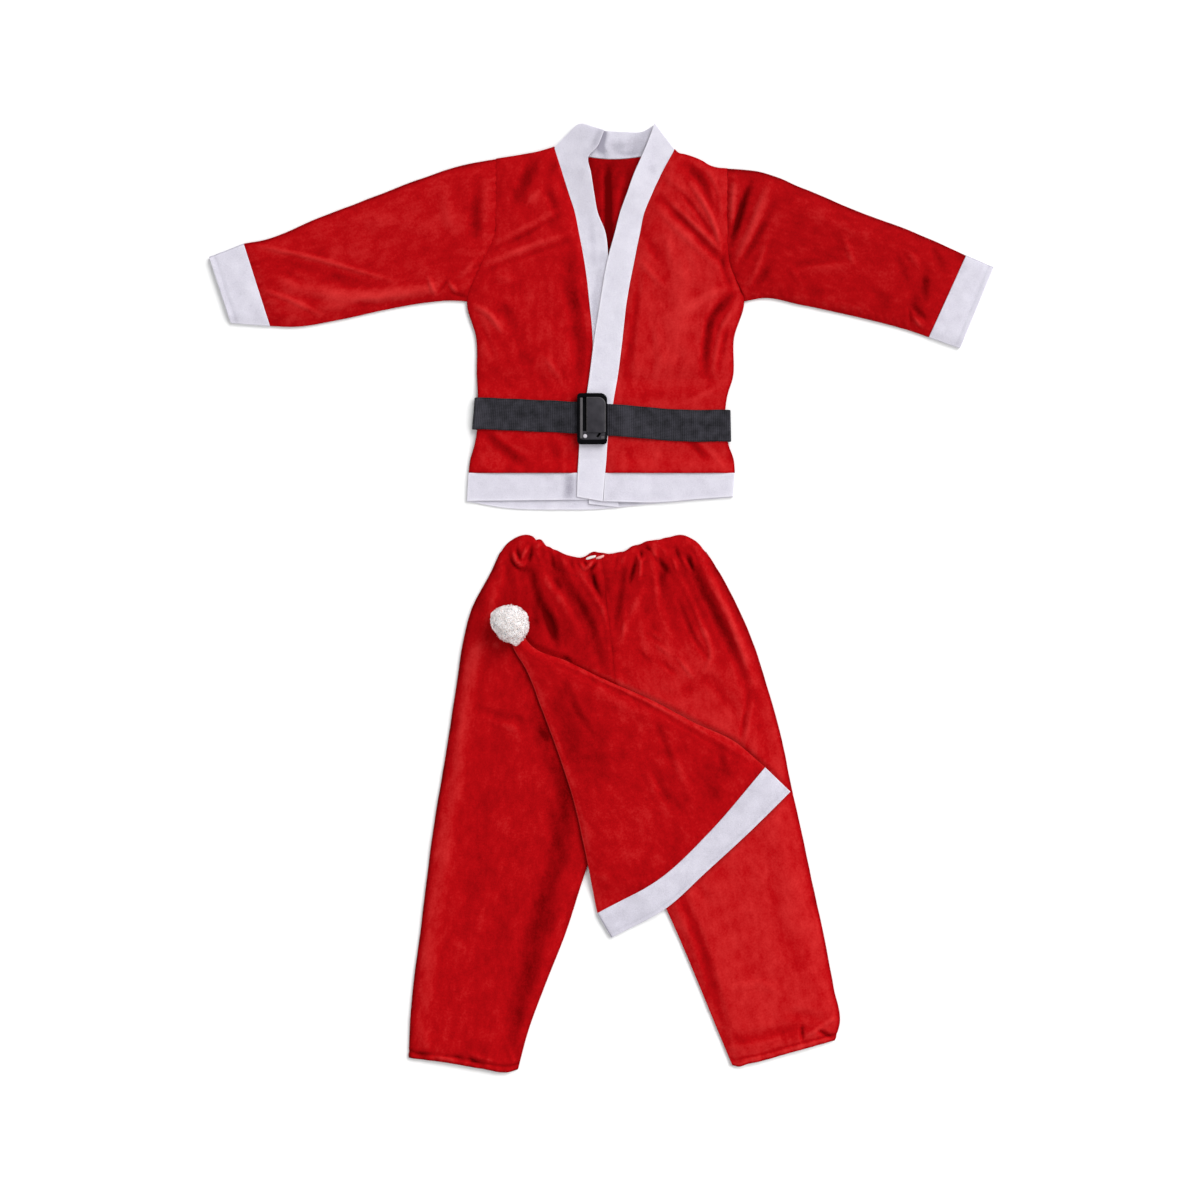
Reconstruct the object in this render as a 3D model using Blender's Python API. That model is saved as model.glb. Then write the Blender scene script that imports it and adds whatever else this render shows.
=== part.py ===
"""Child's santa suit laid flat, face up: a jacket with its belt, trousers, and a hat lying on the trousers.

Units are metres in Blender. The tables below are in millimetres, and shell() turns them into metres.
X runs towards the wearer's left, Y towards the neck, Z up. The suit lies on Z = 0.
"""

import math
from collections import namedtuple

import bmesh
import bpy
from mathutils import Vector

for old in list(bpy.data.objects):
    bpy.data.objects.remove(old, do_unlink=True)

MM = 0.001
MIDDLE = Vector((1, 0.42, 0))  # of the whole layout, in the tables' millimetres: the origin stands under it

# ---- walls and gaps, in millimetres
VELOUR = 1.2
FELT = 1.6
WEBBING = 1.6
SEAM_GAP = 0.3
LAYER_GAP = 0.3
AIR = 1.2  # between the two layers of a folded piece, away from its seam
CROWN = 0.5  # how far a front stands off the back inside its side seam

# ---- belt and buckle, in millimetres
BELT_WIDTH = 39
BUCKLE_CENTRE = Vector((-10, 215))
BUCKLE_WIDTH = 36
BUCKLE_LENGTH = 60
BUCKLE_RAIL = 5.5  # of the frame above and below its window
BUCKLE_BAR = 6  # of the frame at the window's sides
BUCKLE_HEIGHT = 5.5
BUCKLE_CORNER = 6
STRAP_ROOM = 2.5  # beside the strap, inside the frame's tunnel
LEVER_ROOM = 2  # above and below the lever, inside the window
LEVER_SLOT = 5.5  # between the window's bar and the lever's clamping edge
LEVER_FLOOR = 1.2  # of the frame's bar left under the lever
LEVER_TOE = 4  # width of the edge that stands on the strap
LEVER_CHAMFER = 2

# ---- pompom, in millimetres
POMPOM_CENTRE = Vector((-108, -31))
POMPOM_RADIUS = 23
POMPOM_HALF_HEIGHT = 19

# Heights of the middle of each wall, in millimetres, worked out from the walls that lie under it
BACK_Z = VELOUR / 2
SIDE_SEAM_Z = VELOUR + LAYER_GAP + VELOUR / 2
BACK_FELT_Z = FELT / 2
FRONT_FELT_Z = FELT + 0.4 + FELT / 2
BELT_BACK_Z = WEBBING / 2
BELT_RISE = WEBBING + LAYER_GAP
LAP_RISE = FELT + LAYER_GAP
FOLDED_Z = BACK_Z + VELOUR + AIR
LEG_TOP = FOLDED_Z + VELOUR / 2
HAT_Z = LEG_TOP + LAYER_GAP
BELT_FRONT_Z = SIDE_SEAM_Z + CROWN + BELT_RISE + VELOUR / 2 + LAYER_GAP + WEBBING / 2
BELT_LAP_Z = FRONT_FELT_Z + LAP_RISE + BELT_RISE + FELT / 2 + LAYER_GAP + WEBBING / 2

# ---- jacket: the x of every edge at each level, from the yoke down
Level = namedtuple("Level", "name y right_edge right_seam right_free left_free left_seam left_edge")
JACKET = (
    Level("collar", 510, -125, -46, -12, 41, 74, 152),
    Level("yoke", 485, -125, -38, -8, 32, 62, 152),
    Level("collarbone", 463, -125, -31, -4, 24, 53, 152),
    Level("chest", 440, -126, -26.5, 5, 18, 48, 152),
    Level("underarm", 400, -143, -19, 10, 7.5, 40, 155),
    Level("armpit", 356, -160, -13.5, 20, 0, 31.5, 172),
    Level("ribs", 312, -149, -9.5, 24, -7, 26.5, 160),
    Level("waist", 262, -148, -10, 24, -13.5, 20, 158),
    Level("belt top", 245, -147, -11, 24, -16, 17, 152.5),
    Level("belt foot", 183, -151, -13, 23, -25, 8, 153.5),
    Level("hip", 166, -156, -13.5, 22, -26, 7, 159.5),
    Level("hem seam", 150, -158, -14, 21, -27, 5.5, 161),
)
LEVEL_Y = {level.name: level.y for level in JACKET}
SHOULDER_RIGHT = ((-125, 528), (-90, 534), (-56, 540))
SHOULDER_LEFT = ((89, 538), (107, 531), (124, 525), (143, 516), (152, 515))
NECK_SEAM = ((-56, 540), (-16, 529), (14, 526), (49, 529), (89, 538))

# ---- front bands above the collar level: each row runs from the neck seam to the free edge
BAND_ROLL_RIGHT = (
    ((-54, 535), (-15, 528)),
    ((-55, 538.5), (-42, 548), (-20, 549), (-4, 541)),
    ((-54.8, 541), (-41, 555), (-25, 568), (-8, 564), (4, 560)),
)
BAND_ROLL_LEFT = (
    ((85, 531), (49, 528)),
    ((87.5, 535.5), (57, 547)),
    ((88.2, 538.5), (65, 569)),
)
NECK_BAND = (
    ((-54, 541.5), (-27, 566)),
    ((-16, 530), (6, 560)),
    ((14, 527), (28, 559)),
    ((49, 530), (50, 559)),
    ((86.5, 539.5), (65.5, 567.5)),
)

# ---- hem bands: bottom edges
HEM_BACK = ((-160, 116), (-112, 108), (-52, 106), (1, 107), (49, 112), (159, 121))
HEM_RIGHT = ((-160, 116.5), (-15, 118))
HEM_LEFT = ((3.5, 116), (71, 115), (118, 119), (159, 122))
BAND_FOOT_RIGHT = ((-14, 113), (21, 109))
BAND_FOOT_LEFT = ((2.5, 116), (-28, 121.5))

# ---- sleeves: each row runs from the folded top edge to the underarm seam
SLEEVE_RIGHT = (
    ((-165, 519), (-180, 357)),
    ((-215, 503), (-213, 354)),
    ((-275, 480), (-258, 346)),
    ((-340, 455), (-313, 334)),
    ((-405, 429), (-369, 325.5)),
    ((-428, 425), (-396.5, 326.5)),
)
SLEEVE_LEFT = (
    ((187, 512), (196, 360)),
    ((244, 491), (240, 352)),
    ((308, 464), (292, 341)),
    ((375, 439), (346, 328)),
    ((405, 426), (371, 321)),
    ((438.5, 411), (394, 313)),
)
CUFF_RIGHT = ((-469, 409), (-443, 330))
CUFF_LEFT = ((471, 397), (431, 300))

# ---- trousers: each row runs from the folded outside to the centre seam or the inside leg
CROTCH_X = 19
LEG_RIGHT = (
    ((-119, 53), (-104, 69), (-89, 74), (-68, 67), (-50, 56), (-24, 48), (2, 52)),
    ((-132, 30), (4, 30)),
    ((-154, -12), (8, -12)),
    ((-165, -54), (13, -54)),
    ((-172, -100), (18, -100)),
    ((-182, -165), (CROTCH_X, -165)),
    ((-192, -226), (CROTCH_X, -228)),
    ((-199, -268), (3, -273)),
    ((-206, -318), (-17, -325)),
    ((-216, -400), (-42, -402)),
    ((-225, -469), (-68, -468)),
    ((-229, -522), (-87, -520)),
    ((-230, -551), (-188, -556), (-141, -564), (-110, -568), (-99, -565)),
)
LEG_LEFT = (
    ((127, 55), (111, 71), (95, 76), (72, 71), (50, 65), (27, 55), (2, 52)),
    ((143, 30), (4, 30)),
    ((165, -12), (8, -12)),
    ((183, -54), (13, -54)),
    ((198, -100), (18, -100)),
    ((215, -160), (CROTCH_X, -165)),
    ((228, -222), (CROTCH_X, -228)),
    ((238, -266), (35, -276)),
    ((249, -318), (56, -323)),
    ((266, -396), (90, -397)),
    ((280, -469), (120, -468)),
    ((287, -508), (138, -512)),
    ((281, -530), (226, -545), (183, -558), (166, -562), (155, -561)),
)
WAIST_ELASTIC = (((-17, 44), (-12, 50)), ((-6, 49), (-4, 55)), ((5, 48), (6, 54)))

# ---- hat: each row runs from the folded lower edge to the seamed upper edge
HAT = (
    ((-108, -48), (-95, -43)),
    ((-105, -58), (-82, -58)),
    ((-89, -86), (-40, -76)),
    ((-71, -132), (5, -98)),
    ((-50, -188), (62, -123)),
    ((-33, -241), (55, -195), (111, -149)),
    ((-17, -311), (86, -254), (160, -172)),
    ((-4, -378), (74, -334), (130, -281), (197, -203)),
)
HAT_EDGE = ((13, -407), (80, -370), (125, -329), (175, -283), (227, -232))
HAT_SAG = 3.3  # how far the hat sinks between the legs
HAT_SAG_Y = (-328, -365)  # from no sag to all of it
HAT_SAG_REACH = (12, 50)  # how far inside the left leg's inner edge the sag starts and is whole

# ---- the largest folds of the upper layers, in millimetres
Crease = namedtuple("Crease", "x0 y0 x1 y1 half_width height")
FRONT_CREASES = (
    Crease(-158, 372, -60, 438, 22, 2.2),
    Crease(-154, 348, -118, 318, 18, 1.6),
    Crease(62, 486, 150, 412, 22, 2.4),
    Crease(168, 362, 106, 322, 20, 2.2),
)
SLEEVE_CREASES = (
    Crease(-412, 424, -250, 380, 20, 2.4),
    Crease(-386, 384, -170, 374, 20, 2.0),
    Crease(172, 492, 160, 400, 16, 2.2),
    Crease(200, 500, 186, 392, 18, 2.0),
    Crease(398, 402, 380, 330, 16, 1.8),
)
WAIST_CREASES = (
    Crease(-96, 70, -92, 10, 16, 2.6),
    Crease(-62, 62, -34, -40, 17, 2.4),
    Crease(-24, 50, 4, -60, 17, 2.2),
    Crease(40, 62, 28, -70, 17, 2.6),
    Crease(72, 70, 96, -60, 18, 2.4),
    Crease(104, 70, 150, -80, 18, 2.6),
)

# ---- the belt's way round the jacket, by the middle of the strap
BeltPoint = namedtuple("BeltPoint", "x y z")
BELT_OVER_RIGHT = (
    BeltPoint(BUCKLE_CENTRE.x - SEAM_GAP, 215.5, BELT_LAP_Z),
    BeltPoint(-36, 217.5, BELT_LAP_Z),
    BeltPoint(-52, 218, BELT_FRONT_Z),
    BeltPoint(-100, 219, BELT_FRONT_Z),
    BeltPoint(-149, 220, BELT_FRONT_Z),
)
BELT_UNDER_BACK = (
    BeltPoint(-149, 220, BELT_BACK_Z),
    BeltPoint(-70, 217, BELT_BACK_Z),
    BeltPoint(0, 214, BELT_BACK_Z),
    BeltPoint(75, 211, BELT_BACK_Z),
    BeltPoint(152.8, 208, BELT_BACK_Z),
)
BELT_OVER_LEFT = (
    BeltPoint(152.8, 208, BELT_FRONT_Z),
    BeltPoint(110, 209.5, BELT_FRONT_Z),
    BeltPoint(72, 211, BELT_FRONT_Z),
    BeltPoint(44, 212, BELT_LAP_Z),
    BeltPoint(16, 213, BELT_LAP_Z),
    BeltPoint(BUCKLE_CENTRE.x + SEAM_GAP, 214, BELT_LAP_Z),
)
SLANT_RIGHT = 1.5  # how far the strap's lower edge runs out past its middle at each side fold
SLANT_LEFT = 0.4
SLANT_REACH = (60, 140)  # from no slant to all of it, to either side


def ramp(value, start, end):
    """0 at start, 1 at end, held outside them."""
    return min(max((value - start) / (end - start), 0), 1)


def crease_height(x, y, creases):
    """How far the creases lift the cloth at a point: each fades out across and towards both ends."""
    lift = 0
    for crease in creases:
        start = Vector((crease.x0, crease.y0))
        run = Vector((crease.x1, crease.y1)) - start
        offset = Vector((x, y)) - start
        share = offset.dot(run) / run.length_squared
        away = abs(offset.cross(run)) / run.length / crease.half_width
        if 0 < share < 1 and away < 1:
            lift += crease.height * math.sin(math.pi * share) ** 0.6 * math.cos(math.pi / 2 * away) ** 2
    return lift


def smooth_line(knots, steps):
    """Points on the smooth line through the knots, with so many steps to each stretch."""
    if len(knots) == 2:
        return [knots[0].lerp(knots[1], step / steps) for step in range(steps + 1)]
    spans = [(b - a).length for a, b in zip(knots, knots[1:])]
    slopes = [(b - a) / span for a, b, span in zip(knots, knots[1:], spans)]
    tangents = [slopes[0]]
    for before, after, slope_in, slope_out in zip(spans, spans[1:], slopes, slopes[1:]):
        tangents.append((slope_in * after + slope_out * before) / (before + after))
    tangents.append(slopes[-1])
    line = [knots[0]]
    for k, span in enumerate(spans):
        for step in range(1, steps + 1):
            t = step / steps
            line.append(
                knots[k] * (2 * t**3 - 3 * t**2 + 1)
                + tangents[k] * (span * (t**3 - 2 * t**2 + t))
                + knots[k + 1] * (3 * t**2 - 2 * t**3)
                + tangents[k + 1] * (span * (t**3 - t**2))
            )
    return line


def spread(points, count, inset=0):
    """count + 1 points evenly spaced along the smooth line through the points, from inset on."""
    line = smooth_line([Vector(point) for point in points], 8)
    lengths = [0]
    for a, b in zip(line, line[1:]):
        lengths.append(lengths[-1] + (b - a).length)
    placed = []
    k = 0
    for step in range(count + 1):
        at = inset + (lengths[-1] - inset) * step / count
        while k < len(line) - 2 and lengths[k + 1] < at:
            k += 1
        placed.append(line[k].lerp(line[k + 1], (at - lengths[k]) / (lengths[k + 1] - lengths[k])))
    return placed


def loft(sections, across, steps, inset=0):
    """A grid of points: smooth columns through the sections, each section spread into so many steps.

    A section that already has a point for each column keeps them, apart from its inset first one.
    """
    rows = []
    for section in sections:
        if len(section) == across + 1:
            first, second = Vector(section[0]), Vector(section[1])
            rows.append([first + (second - first).normalized() * inset, *section[1:]])
        else:
            rows.append(spread(section, across, inset))
    columns = [smooth_line([row[j] for row in rows], steps) for j in range(across + 1)]
    return [list(row) for row in zip(*columns)]


def apart(section, towards):
    """The section moved off its seam by the gap between two sewn pieces, towards the next section."""
    here = [Vector(point) for point in section]
    there = spread(towards, len(here) - 1)
    return [a + (b - a).normalized() * SEAM_GAP for a, b in zip(here, there)]


def laid(grid, height):
    """The grid at the heights that height(x, y, share across, share along) gives."""
    rows = len(grid) - 1
    across = len(grid[0]) - 1
    return [
        [Vector((p.x, p.y, height(p.x, p.y, j / across, i / rows))) for j, p in enumerate(row)]
        for i, row in enumerate(grid)
    ]


def folded(grid, under, over, turns=3):
    """A sheet folded along the grid's first column: in on its under layer, round, and out on its over layer."""
    sheet = []
    low = laid(grid, under)
    high = laid(grid, over)
    for below, above in zip(low, high):
        outwards = below[0] - below[1]
        outwards.z = 0
        outwards.normalize()
        middle = (below[0] + above[0]) / 2
        radius = (above[0].z - below[0].z) / 2
        bend = []
        for turn in range(1, turns + 1):
            angle = math.pi * turn / (turns + 1)
            up = Vector((0, 0, -radius * math.cos(angle)))
            bend.append(middle + outwards * (radius * math.sin(angle)) + up)
        sheet.append(below[::-1] + bend + above)
    return sheet


def offset_faces(grid, wall):
    """The two faces of a wall whose middle is the grid."""
    rows = len(grid)
    across = len(grid[0])
    faces = ([], [])
    for i in range(rows):
        lines = ([], [])
        for j in range(across):
            along = grid[min(i + 1, rows - 1)][j] - grid[max(i - 1, 0)][j]
            side = grid[i][min(j + 1, across - 1)] - grid[i][max(j - 1, 0)]
            out = along.cross(side).normalized() * (wall / 2)
            lines[0].append(grid[i][j] + out)
            lines[1].append(grid[i][j] - out)
        faces[0].append(lines[0])
        faces[1].append(lines[1])
    return faces


def add_mesh(name, points, faces, material, sharp=50):
    """A named object with its own material, its faces turned outwards; points are in millimetres."""
    mesh = bpy.data.meshes.new(name)
    mesh.from_pydata([(point - MIDDLE) * MM for point in points], [], faces)
    volume = 0
    for face in mesh.polygons:
        corners = [mesh.vertices[v].co for v in face.vertices]
        for a, b in zip(corners[1:], corners[2:]):
            volume += corners[0].dot(a.cross(b))
    if volume < 0:
        mesh.flip_normals()
    mesh.shade_smooth()
    mesh.set_sharp_from_angle(angle=math.radians(sharp))
    mesh.materials.append(material)
    placed = bpy.data.objects.new(name, mesh)
    bpy.context.scene.collection.objects.link(placed)
    return placed


def shell(name, grid, wall, material):
    """A closed wall along a grid of points."""
    rows = len(grid)
    across = len(grid[0])
    upper, lower = offset_faces(grid, wall)
    points = [p for row in upper for p in row] + [p for row in lower for p in row]
    far = rows * across
    faces = []
    for i in range(rows - 1):
        for j in range(across - 1):
            a = i * across + j
            quad = (a, a + 1, a + across + 1, a + across)
            faces.append(quad)
            faces.append(tuple(far + v for v in reversed(quad)))
    rim = [(0, j) for j in range(across)] + [(i, across - 1) for i in range(1, rows)]
    rim += [(rows - 1, j) for j in range(across - 2, -1, -1)] + [(i, 0) for i in range(rows - 2, 0, -1)]
    for (i, j), (k, m) in zip(rim, rim[1:] + rim[:1]):
        a = i * across + j
        b = k * across + m
        faces.append((b, a, far + a, far + b))
    return add_mesh(name, points, faces, material)


def finish(name, colour, roughness, metallic=0.0):
    """A plain Principled material."""
    material = bpy.data.materials.new(name)
    material.use_nodes = True
    shader = material.node_tree.nodes["Principled BSDF"]
    shader.inputs["Base Color"].default_value = (*colour, 1)
    shader.inputs["Roughness"].default_value = roughness
    shader.inputs["Metallic"].default_value = metallic
    return material


RED_VELOUR = finish("red_velour", (0.42, 0.008, 0.010), 0.75)
WHITE_FELT = finish("white_felt", (0.72, 0.70, 0.79), 0.95)
BLACK_WEBBING = finish("black_webbing", (0.032, 0.034, 0.042), 0.8)
BLACK_PLASTIC = finish("black_plastic", (0.008, 0.008, 0.010), 0.25)
GREY_PLASTIC = finish("grey_plastic", (0.05, 0.05, 0.058), 0.45)
WHITE_ELASTIC = finish("white_elastic", (0.75, 0.72, 0.70), 0.8)
WHITE_FLUFF = finish("white_fluff", (0.80, 0.78, 0.76), 0.98)


def belt_rise(y):
    """The jacket steps up over the belt's back run, between the levels named for it."""
    up = ramp(y, LEVEL_Y["hip"], LEVEL_Y["belt foot"])
    down = ramp(y, LEVEL_Y["waist"], LEVEL_Y["belt top"])
    return BELT_RISE * min(up, down)


def lap_rise(x, y):
    """The left front steps up over the right band, below the crossing of the two."""
    return LAP_RISE * ramp(x, 62, 32) * ramp(y, 450, 415)


def level_rows(start, end):
    """Straight sections of the jacket between two of its edges, one at each level."""
    return [((getattr(level, start), level.y), (getattr(level, end), level.y)) for level in JACKET]


def jacket_body():
    """The back and the two fronts, each lofted from the shoulder down to the hem seam."""
    shoulders = (*SHOULDER_RIGHT[:-1], *NECK_SEAM, *SHOULDER_LEFT[1:])
    back = loft([shoulders, *level_rows("right_edge", "left_edge")], 12, 2)
    shell("jacket_back", laid(back, lambda x, y, u, v: BACK_Z + belt_rise(y)), VELOUR, RED_VELOUR)

    def front_height(x, y, u, v):
        crown = CROWN * (1 - (1 - ramp(u, 0, 0.25)) ** 2)
        clear_of_belt = ramp(y, 262, 285) + ramp(y, 166, 150)
        clear_of_sides = ramp(u, 0, 0.12)
        clear_of_seams = ramp(v, 0, 0.1)
        creases = crease_height(x, y, FRONT_CREASES) * clear_of_belt * clear_of_sides * clear_of_seams
        return SIDE_SEAM_Z + crown + belt_rise(y) + creases

    right = loft([SHOULDER_RIGHT, *level_rows("right_edge", "right_seam")], 8, 2)
    shell("jacket_front_right", laid(right, front_height), VELOUR, RED_VELOUR)
    left = loft([SHOULDER_LEFT[::-1], *level_rows("left_edge", "left_seam")], 8, 2)
    lapped = laid(left, lambda x, y, u, v: front_height(x, y, u, v) + lap_rise(x, y))
    shell("jacket_front_left", lapped, VELOUR, RED_VELOUR)


def front_bands():
    """The felt bands down both front edges, and the one round the back of the neck between their rolls."""

    def right_height(x, y, u, v):
        return FRONT_FELT_Z + belt_rise(y)

    def left_height(x, y, u, v):
        return right_height(x, y, u, v) + lap_rise(x, y)

    gap = Vector((SEAM_GAP, 0))
    right = [*BAND_ROLL_RIGHT[::-1], *level_rows("right_seam", "right_free"), BAND_FOOT_RIGHT]
    right = [[Vector(point) + gap for point in section] for section in right]
    shell("front_band_right", laid(loft(right, 3, 2), right_height), FELT, WHITE_FELT)
    left = [*BAND_ROLL_LEFT[::-1], *level_rows("left_seam", "left_free"), BAND_FOOT_LEFT]
    left = [[Vector(point) - gap for point in section] for section in left]
    shell("front_band_left", laid(loft(left, 3, 2), left_height), FELT, WHITE_FELT)
    neck = laid(loft(NECK_BAND, 3, 3), lambda x, y, u, v: BACK_FELT_Z)
    shell("neck_band", neck, FELT, WHITE_FELT)


def hem_bands():
    """The felt bands along the bottom edges of the back and the fronts."""
    seam_y = LEVEL_Y["hem seam"] - SEAM_GAP
    last = JACKET[-1]
    back = loft((((last.right_edge, seam_y), (last.left_edge, seam_y)), HEM_BACK), 12, 2)
    shell("hem_band_back", laid(back, lambda x, y, u, v: BACK_FELT_Z), FELT, WHITE_FELT)
    right = loft((((last.right_edge, seam_y), (last.right_seam - SEAM_GAP, seam_y)), HEM_RIGHT), 6, 2)
    shell("hem_band_right", laid(right, lambda x, y, u, v: FRONT_FELT_Z), FELT, WHITE_FELT)
    left = loft((((last.left_seam + SEAM_GAP, seam_y), (last.left_edge, seam_y)), HEM_LEFT), 8, 2)
    raised = laid(left, lambda x, y, u, v: FRONT_FELT_Z + lap_rise(x, y))
    shell("hem_band_left", raised, FELT, WHITE_FELT)


def folded_heights(under, wall, air, creases=()):
    """Height functions of a folded piece lying on under(x, y): its two layers close up towards the seam."""

    def low(x, y, u, v):
        return under(x, y) + wall / 2

    def high(x, y, u, v):
        closing = ramp(u, 0.8, 1)
        clear = ramp(u, 0, 0.1) * ramp(u, 1, 0.85) * ramp(v, 0, 0.05) * ramp(v, 1, 0.97)
        apart_by = wall + air + (LAYER_GAP - air) * closing
        return low(x, y, u, v) + apart_by + crease_height(x, y, creases) * clear

    return low, high


def on_the_floor(x, y):
    return 0


def armhole(shoulder, edge):
    """The points of the body's edge from the shoulder tip down to the armpit, two to each level."""
    knots = [Vector(shoulder)] + [Vector((getattr(level, edge), level.y)) for level in JACKET]
    line = smooth_line(knots, 2)
    return [point for point in line if point.y > LEVEL_Y["armpit"] - SEAM_GAP]


def sleeves():
    """Each sleeve is one piece folded along the top; its cuff is a felt band folded the same way."""
    armhole_right = armhole(SHOULDER_RIGHT[0], "right_edge")
    armhole_left = armhole(SHOULDER_LEFT[-1], "left_edge")
    cloth = folded_heights(on_the_floor, VELOUR, AIR, SLEEVE_CREASES)
    felt = folded_heights(on_the_floor, FELT, AIR)
    sides = (
        ("right", armhole_right, SLEEVE_RIGHT, CUFF_RIGHT),
        ("left", armhole_left, SLEEVE_LEFT, CUFF_LEFT),
    )
    for side, seam, rows, cuff_edge in sides:
        sections = [apart(seam, rows[0]), *rows]
        grid = loft(sections, len(seam) - 1, 1, inset=(VELOUR + AIR + VELOUR) / 2)
        shell(f"sleeve_{side}", folded(grid, *cloth), VELOUR, RED_VELOUR)
        cuff = loft((apart(rows[-1], cuff_edge), cuff_edge), 6, 2, inset=(FELT + AIR + FELT) / 2)
        shell(f"cuff_{side}", folded(cuff, *felt), FELT, WHITE_FELT)


def side_fold(start, end, way, turns=5):
    """Points round a fold of the strap, bulging to one side between two levels of the same place."""
    radius = (end.z - start.z) / 2
    bend = []
    for turn in range(1, turns + 1):
        angle = math.pi * turn / (turns + 1)
        out = abs(radius) * math.sin(angle)
        bend.append(BeltPoint(start.x + way * out, start.y, start.z + radius * (1 - math.cos(angle))))
    return bend


def belt():
    """One strap: from the buckle round the right side, under the jacket's back, and round the left."""
    path = [
        *BELT_OVER_RIGHT,
        *side_fold(BELT_OVER_RIGHT[-1], BELT_UNDER_BACK[0], -1),
        *BELT_UNDER_BACK,
        *side_fold(BELT_UNDER_BACK[-1], BELT_OVER_LEFT[0], 1),
        *BELT_OVER_LEFT,
    ]
    grid = []
    for point in path:
        slant = SLANT_LEFT * ramp(point.x, *SLANT_REACH) - SLANT_RIGHT * ramp(-point.x, *SLANT_REACH)
        half = Vector((slant, -BELT_WIDTH / 2, 0))
        middle = Vector(point)
        grid.append([middle - half, middle, middle + half])
    shell("belt", grid, WEBBING, BLACK_WEBBING)


def prism_faces(count):
    """The faces between two matching rings of points, and one across each ring."""
    faces = [tuple(range(count)), tuple(range(2 * count - 1, count - 1, -1))]
    for k in range(count):
        m = (k + 1) % count
        faces.append((m, k, count + k, count + m))
    return faces


def prism(name, outline, bottom, top, material):
    """An upright prism on an outline of points."""
    points = [Vector((x, y, bottom)) for x, y in outline] + [Vector((x, y, top)) for x, y in outline]
    return add_mesh(name, points, prism_faces(len(outline)), material, sharp=30)


def rounded_box(centre, width, length, corner, steps=4):
    """The outline of a rectangle with rounded corners."""
    outline = []
    for quarter, (way_x, way_y) in enumerate(((1, 1), (-1, 1), (-1, -1), (1, -1))):
        for step in range(steps + 1):
            angle = math.radians(90 * (quarter + step / steps))
            x = centre.x + way_x * (width / 2 - corner) + corner * math.cos(angle)
            y = centre.y + way_y * (length / 2 - corner) + corner * math.sin(angle)
            outline.append((x, y))
    return outline


def cut(target, name, low, high):
    """Cuts a box out of the target; the cutter stays as a hidden guide."""
    corners = ((low[0], low[1]), (high[0], low[1]), (high[0], high[1]), (low[0], high[1]))
    cutter = prism(name, corners, low[2], high[2], BLACK_PLASTIC)
    cutter.hide_render = True
    cutter.display_type = "WIRE"
    modifier = target.modifiers.new(name, "BOOLEAN")
    modifier.object = cutter


def buckle():
    """A frame that the strap runs under, and the lever plate that clamps the strap's ends."""
    bottom = BELT_LAP_Z - WEBBING / 2
    strap_top = BELT_LAP_Z + WEBBING / 2 + LAYER_GAP
    top = bottom + BUCKLE_HEIGHT
    seat = strap_top + LEVER_FLOOR
    x, y = BUCKLE_CENTRE
    left = x - BUCKLE_WIDTH / 2
    right = x + BUCKLE_WIDTH / 2
    inside = BUCKLE_LENGTH / 2 - BUCKLE_RAIL
    tunnel = BELT_WIDTH / 2 + STRAP_ROOM
    past = BUCKLE_CORNER
    outline = rounded_box(BUCKLE_CENTRE, BUCKLE_WIDTH, BUCKLE_LENGTH, BUCKLE_CORNER)
    frame = prism("buckle_frame", outline, bottom, top, BLACK_PLASTIC)
    tunnel_box = ((left - past, y - tunnel, bottom - past), (right + past, y + tunnel, strap_top))
    window_box = ((left + BUCKLE_BAR, y - inside, bottom), (right - BUCKLE_BAR, y + inside, top + past))
    seat_box = ((right - 2 * BUCKLE_BAR, y - inside, seat), (right + past, y + inside, top + past))
    cut(frame, "strap_tunnel", *tunnel_box)
    cut(frame, "window", *window_box)
    cut(frame, "lever_seat", *seat_box)

    under = seat + LAYER_GAP
    start = left + BUCKLE_BAR + LEVER_SLOT
    end = right - LAYER_GAP
    shoulder = top - LEVER_CHAMFER / 2
    profile = (
        (start, strap_top),
        (start + LEVER_TOE, strap_top),
        (start + LEVER_TOE + LEVER_CHAMFER, under),
        (end, under),
        (end, shoulder),
        (end - LEVER_CHAMFER, top),
        (start + LEVER_CHAMFER, top),
        (start, shoulder),
    )
    half = inside - LEVER_ROOM
    far = [Vector((px, y + half, pz)) for px, pz in profile]
    near = [Vector((px, y - half, pz)) for px, pz in profile]
    add_mesh("buckle_lever", far + near, prism_faces(len(profile)), GREY_PLASTIC, sharp=30)


def trousers():
    """Two legs, each one piece folded along the outside; the waist is gathered on its elastic."""
    low, high = folded_heights(on_the_floor, VELOUR, AIR, WAIST_CREASES)
    for side, rows, way in (("right", LEG_RIGHT, -1), ("left", LEG_LEFT, 1)):
        apart_x = Vector((way * SEAM_GAP / 2, 0))
        sections = [[Vector(point) + apart_x for point in row] for row in rows]
        grid = loft(sections, 10, 1, inset=(VELOUR + AIR + VELOUR) / 2)
        shell(f"trouser_leg_{side}", folded(grid, low, high), VELOUR, RED_VELOUR)
    strip = laid(loft(WAIST_ELASTIC, 2, 2), lambda x, y, u, v: LEG_TOP + LAYER_GAP + VELOUR / 2)
    shell("waist_elastic", strip, VELOUR, WHITE_ELASTIC)


def hat_floor(x, y):
    """What the hat lies on: the legs, and a sag between them under its free corner."""
    inner = LEG_LEFT[9][1]
    crotch = LEG_LEFT[7][1]
    leg_x = crotch[0] + (inner[0] - crotch[0]) * (y - crotch[1]) / (inner[1] - crotch[1])
    across = ramp(x, leg_x - HAT_SAG_REACH[0], leg_x - HAT_SAG_REACH[1])
    return HAT_Z - HAT_SAG * across * ramp(y, *HAT_SAG_Y)


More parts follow.
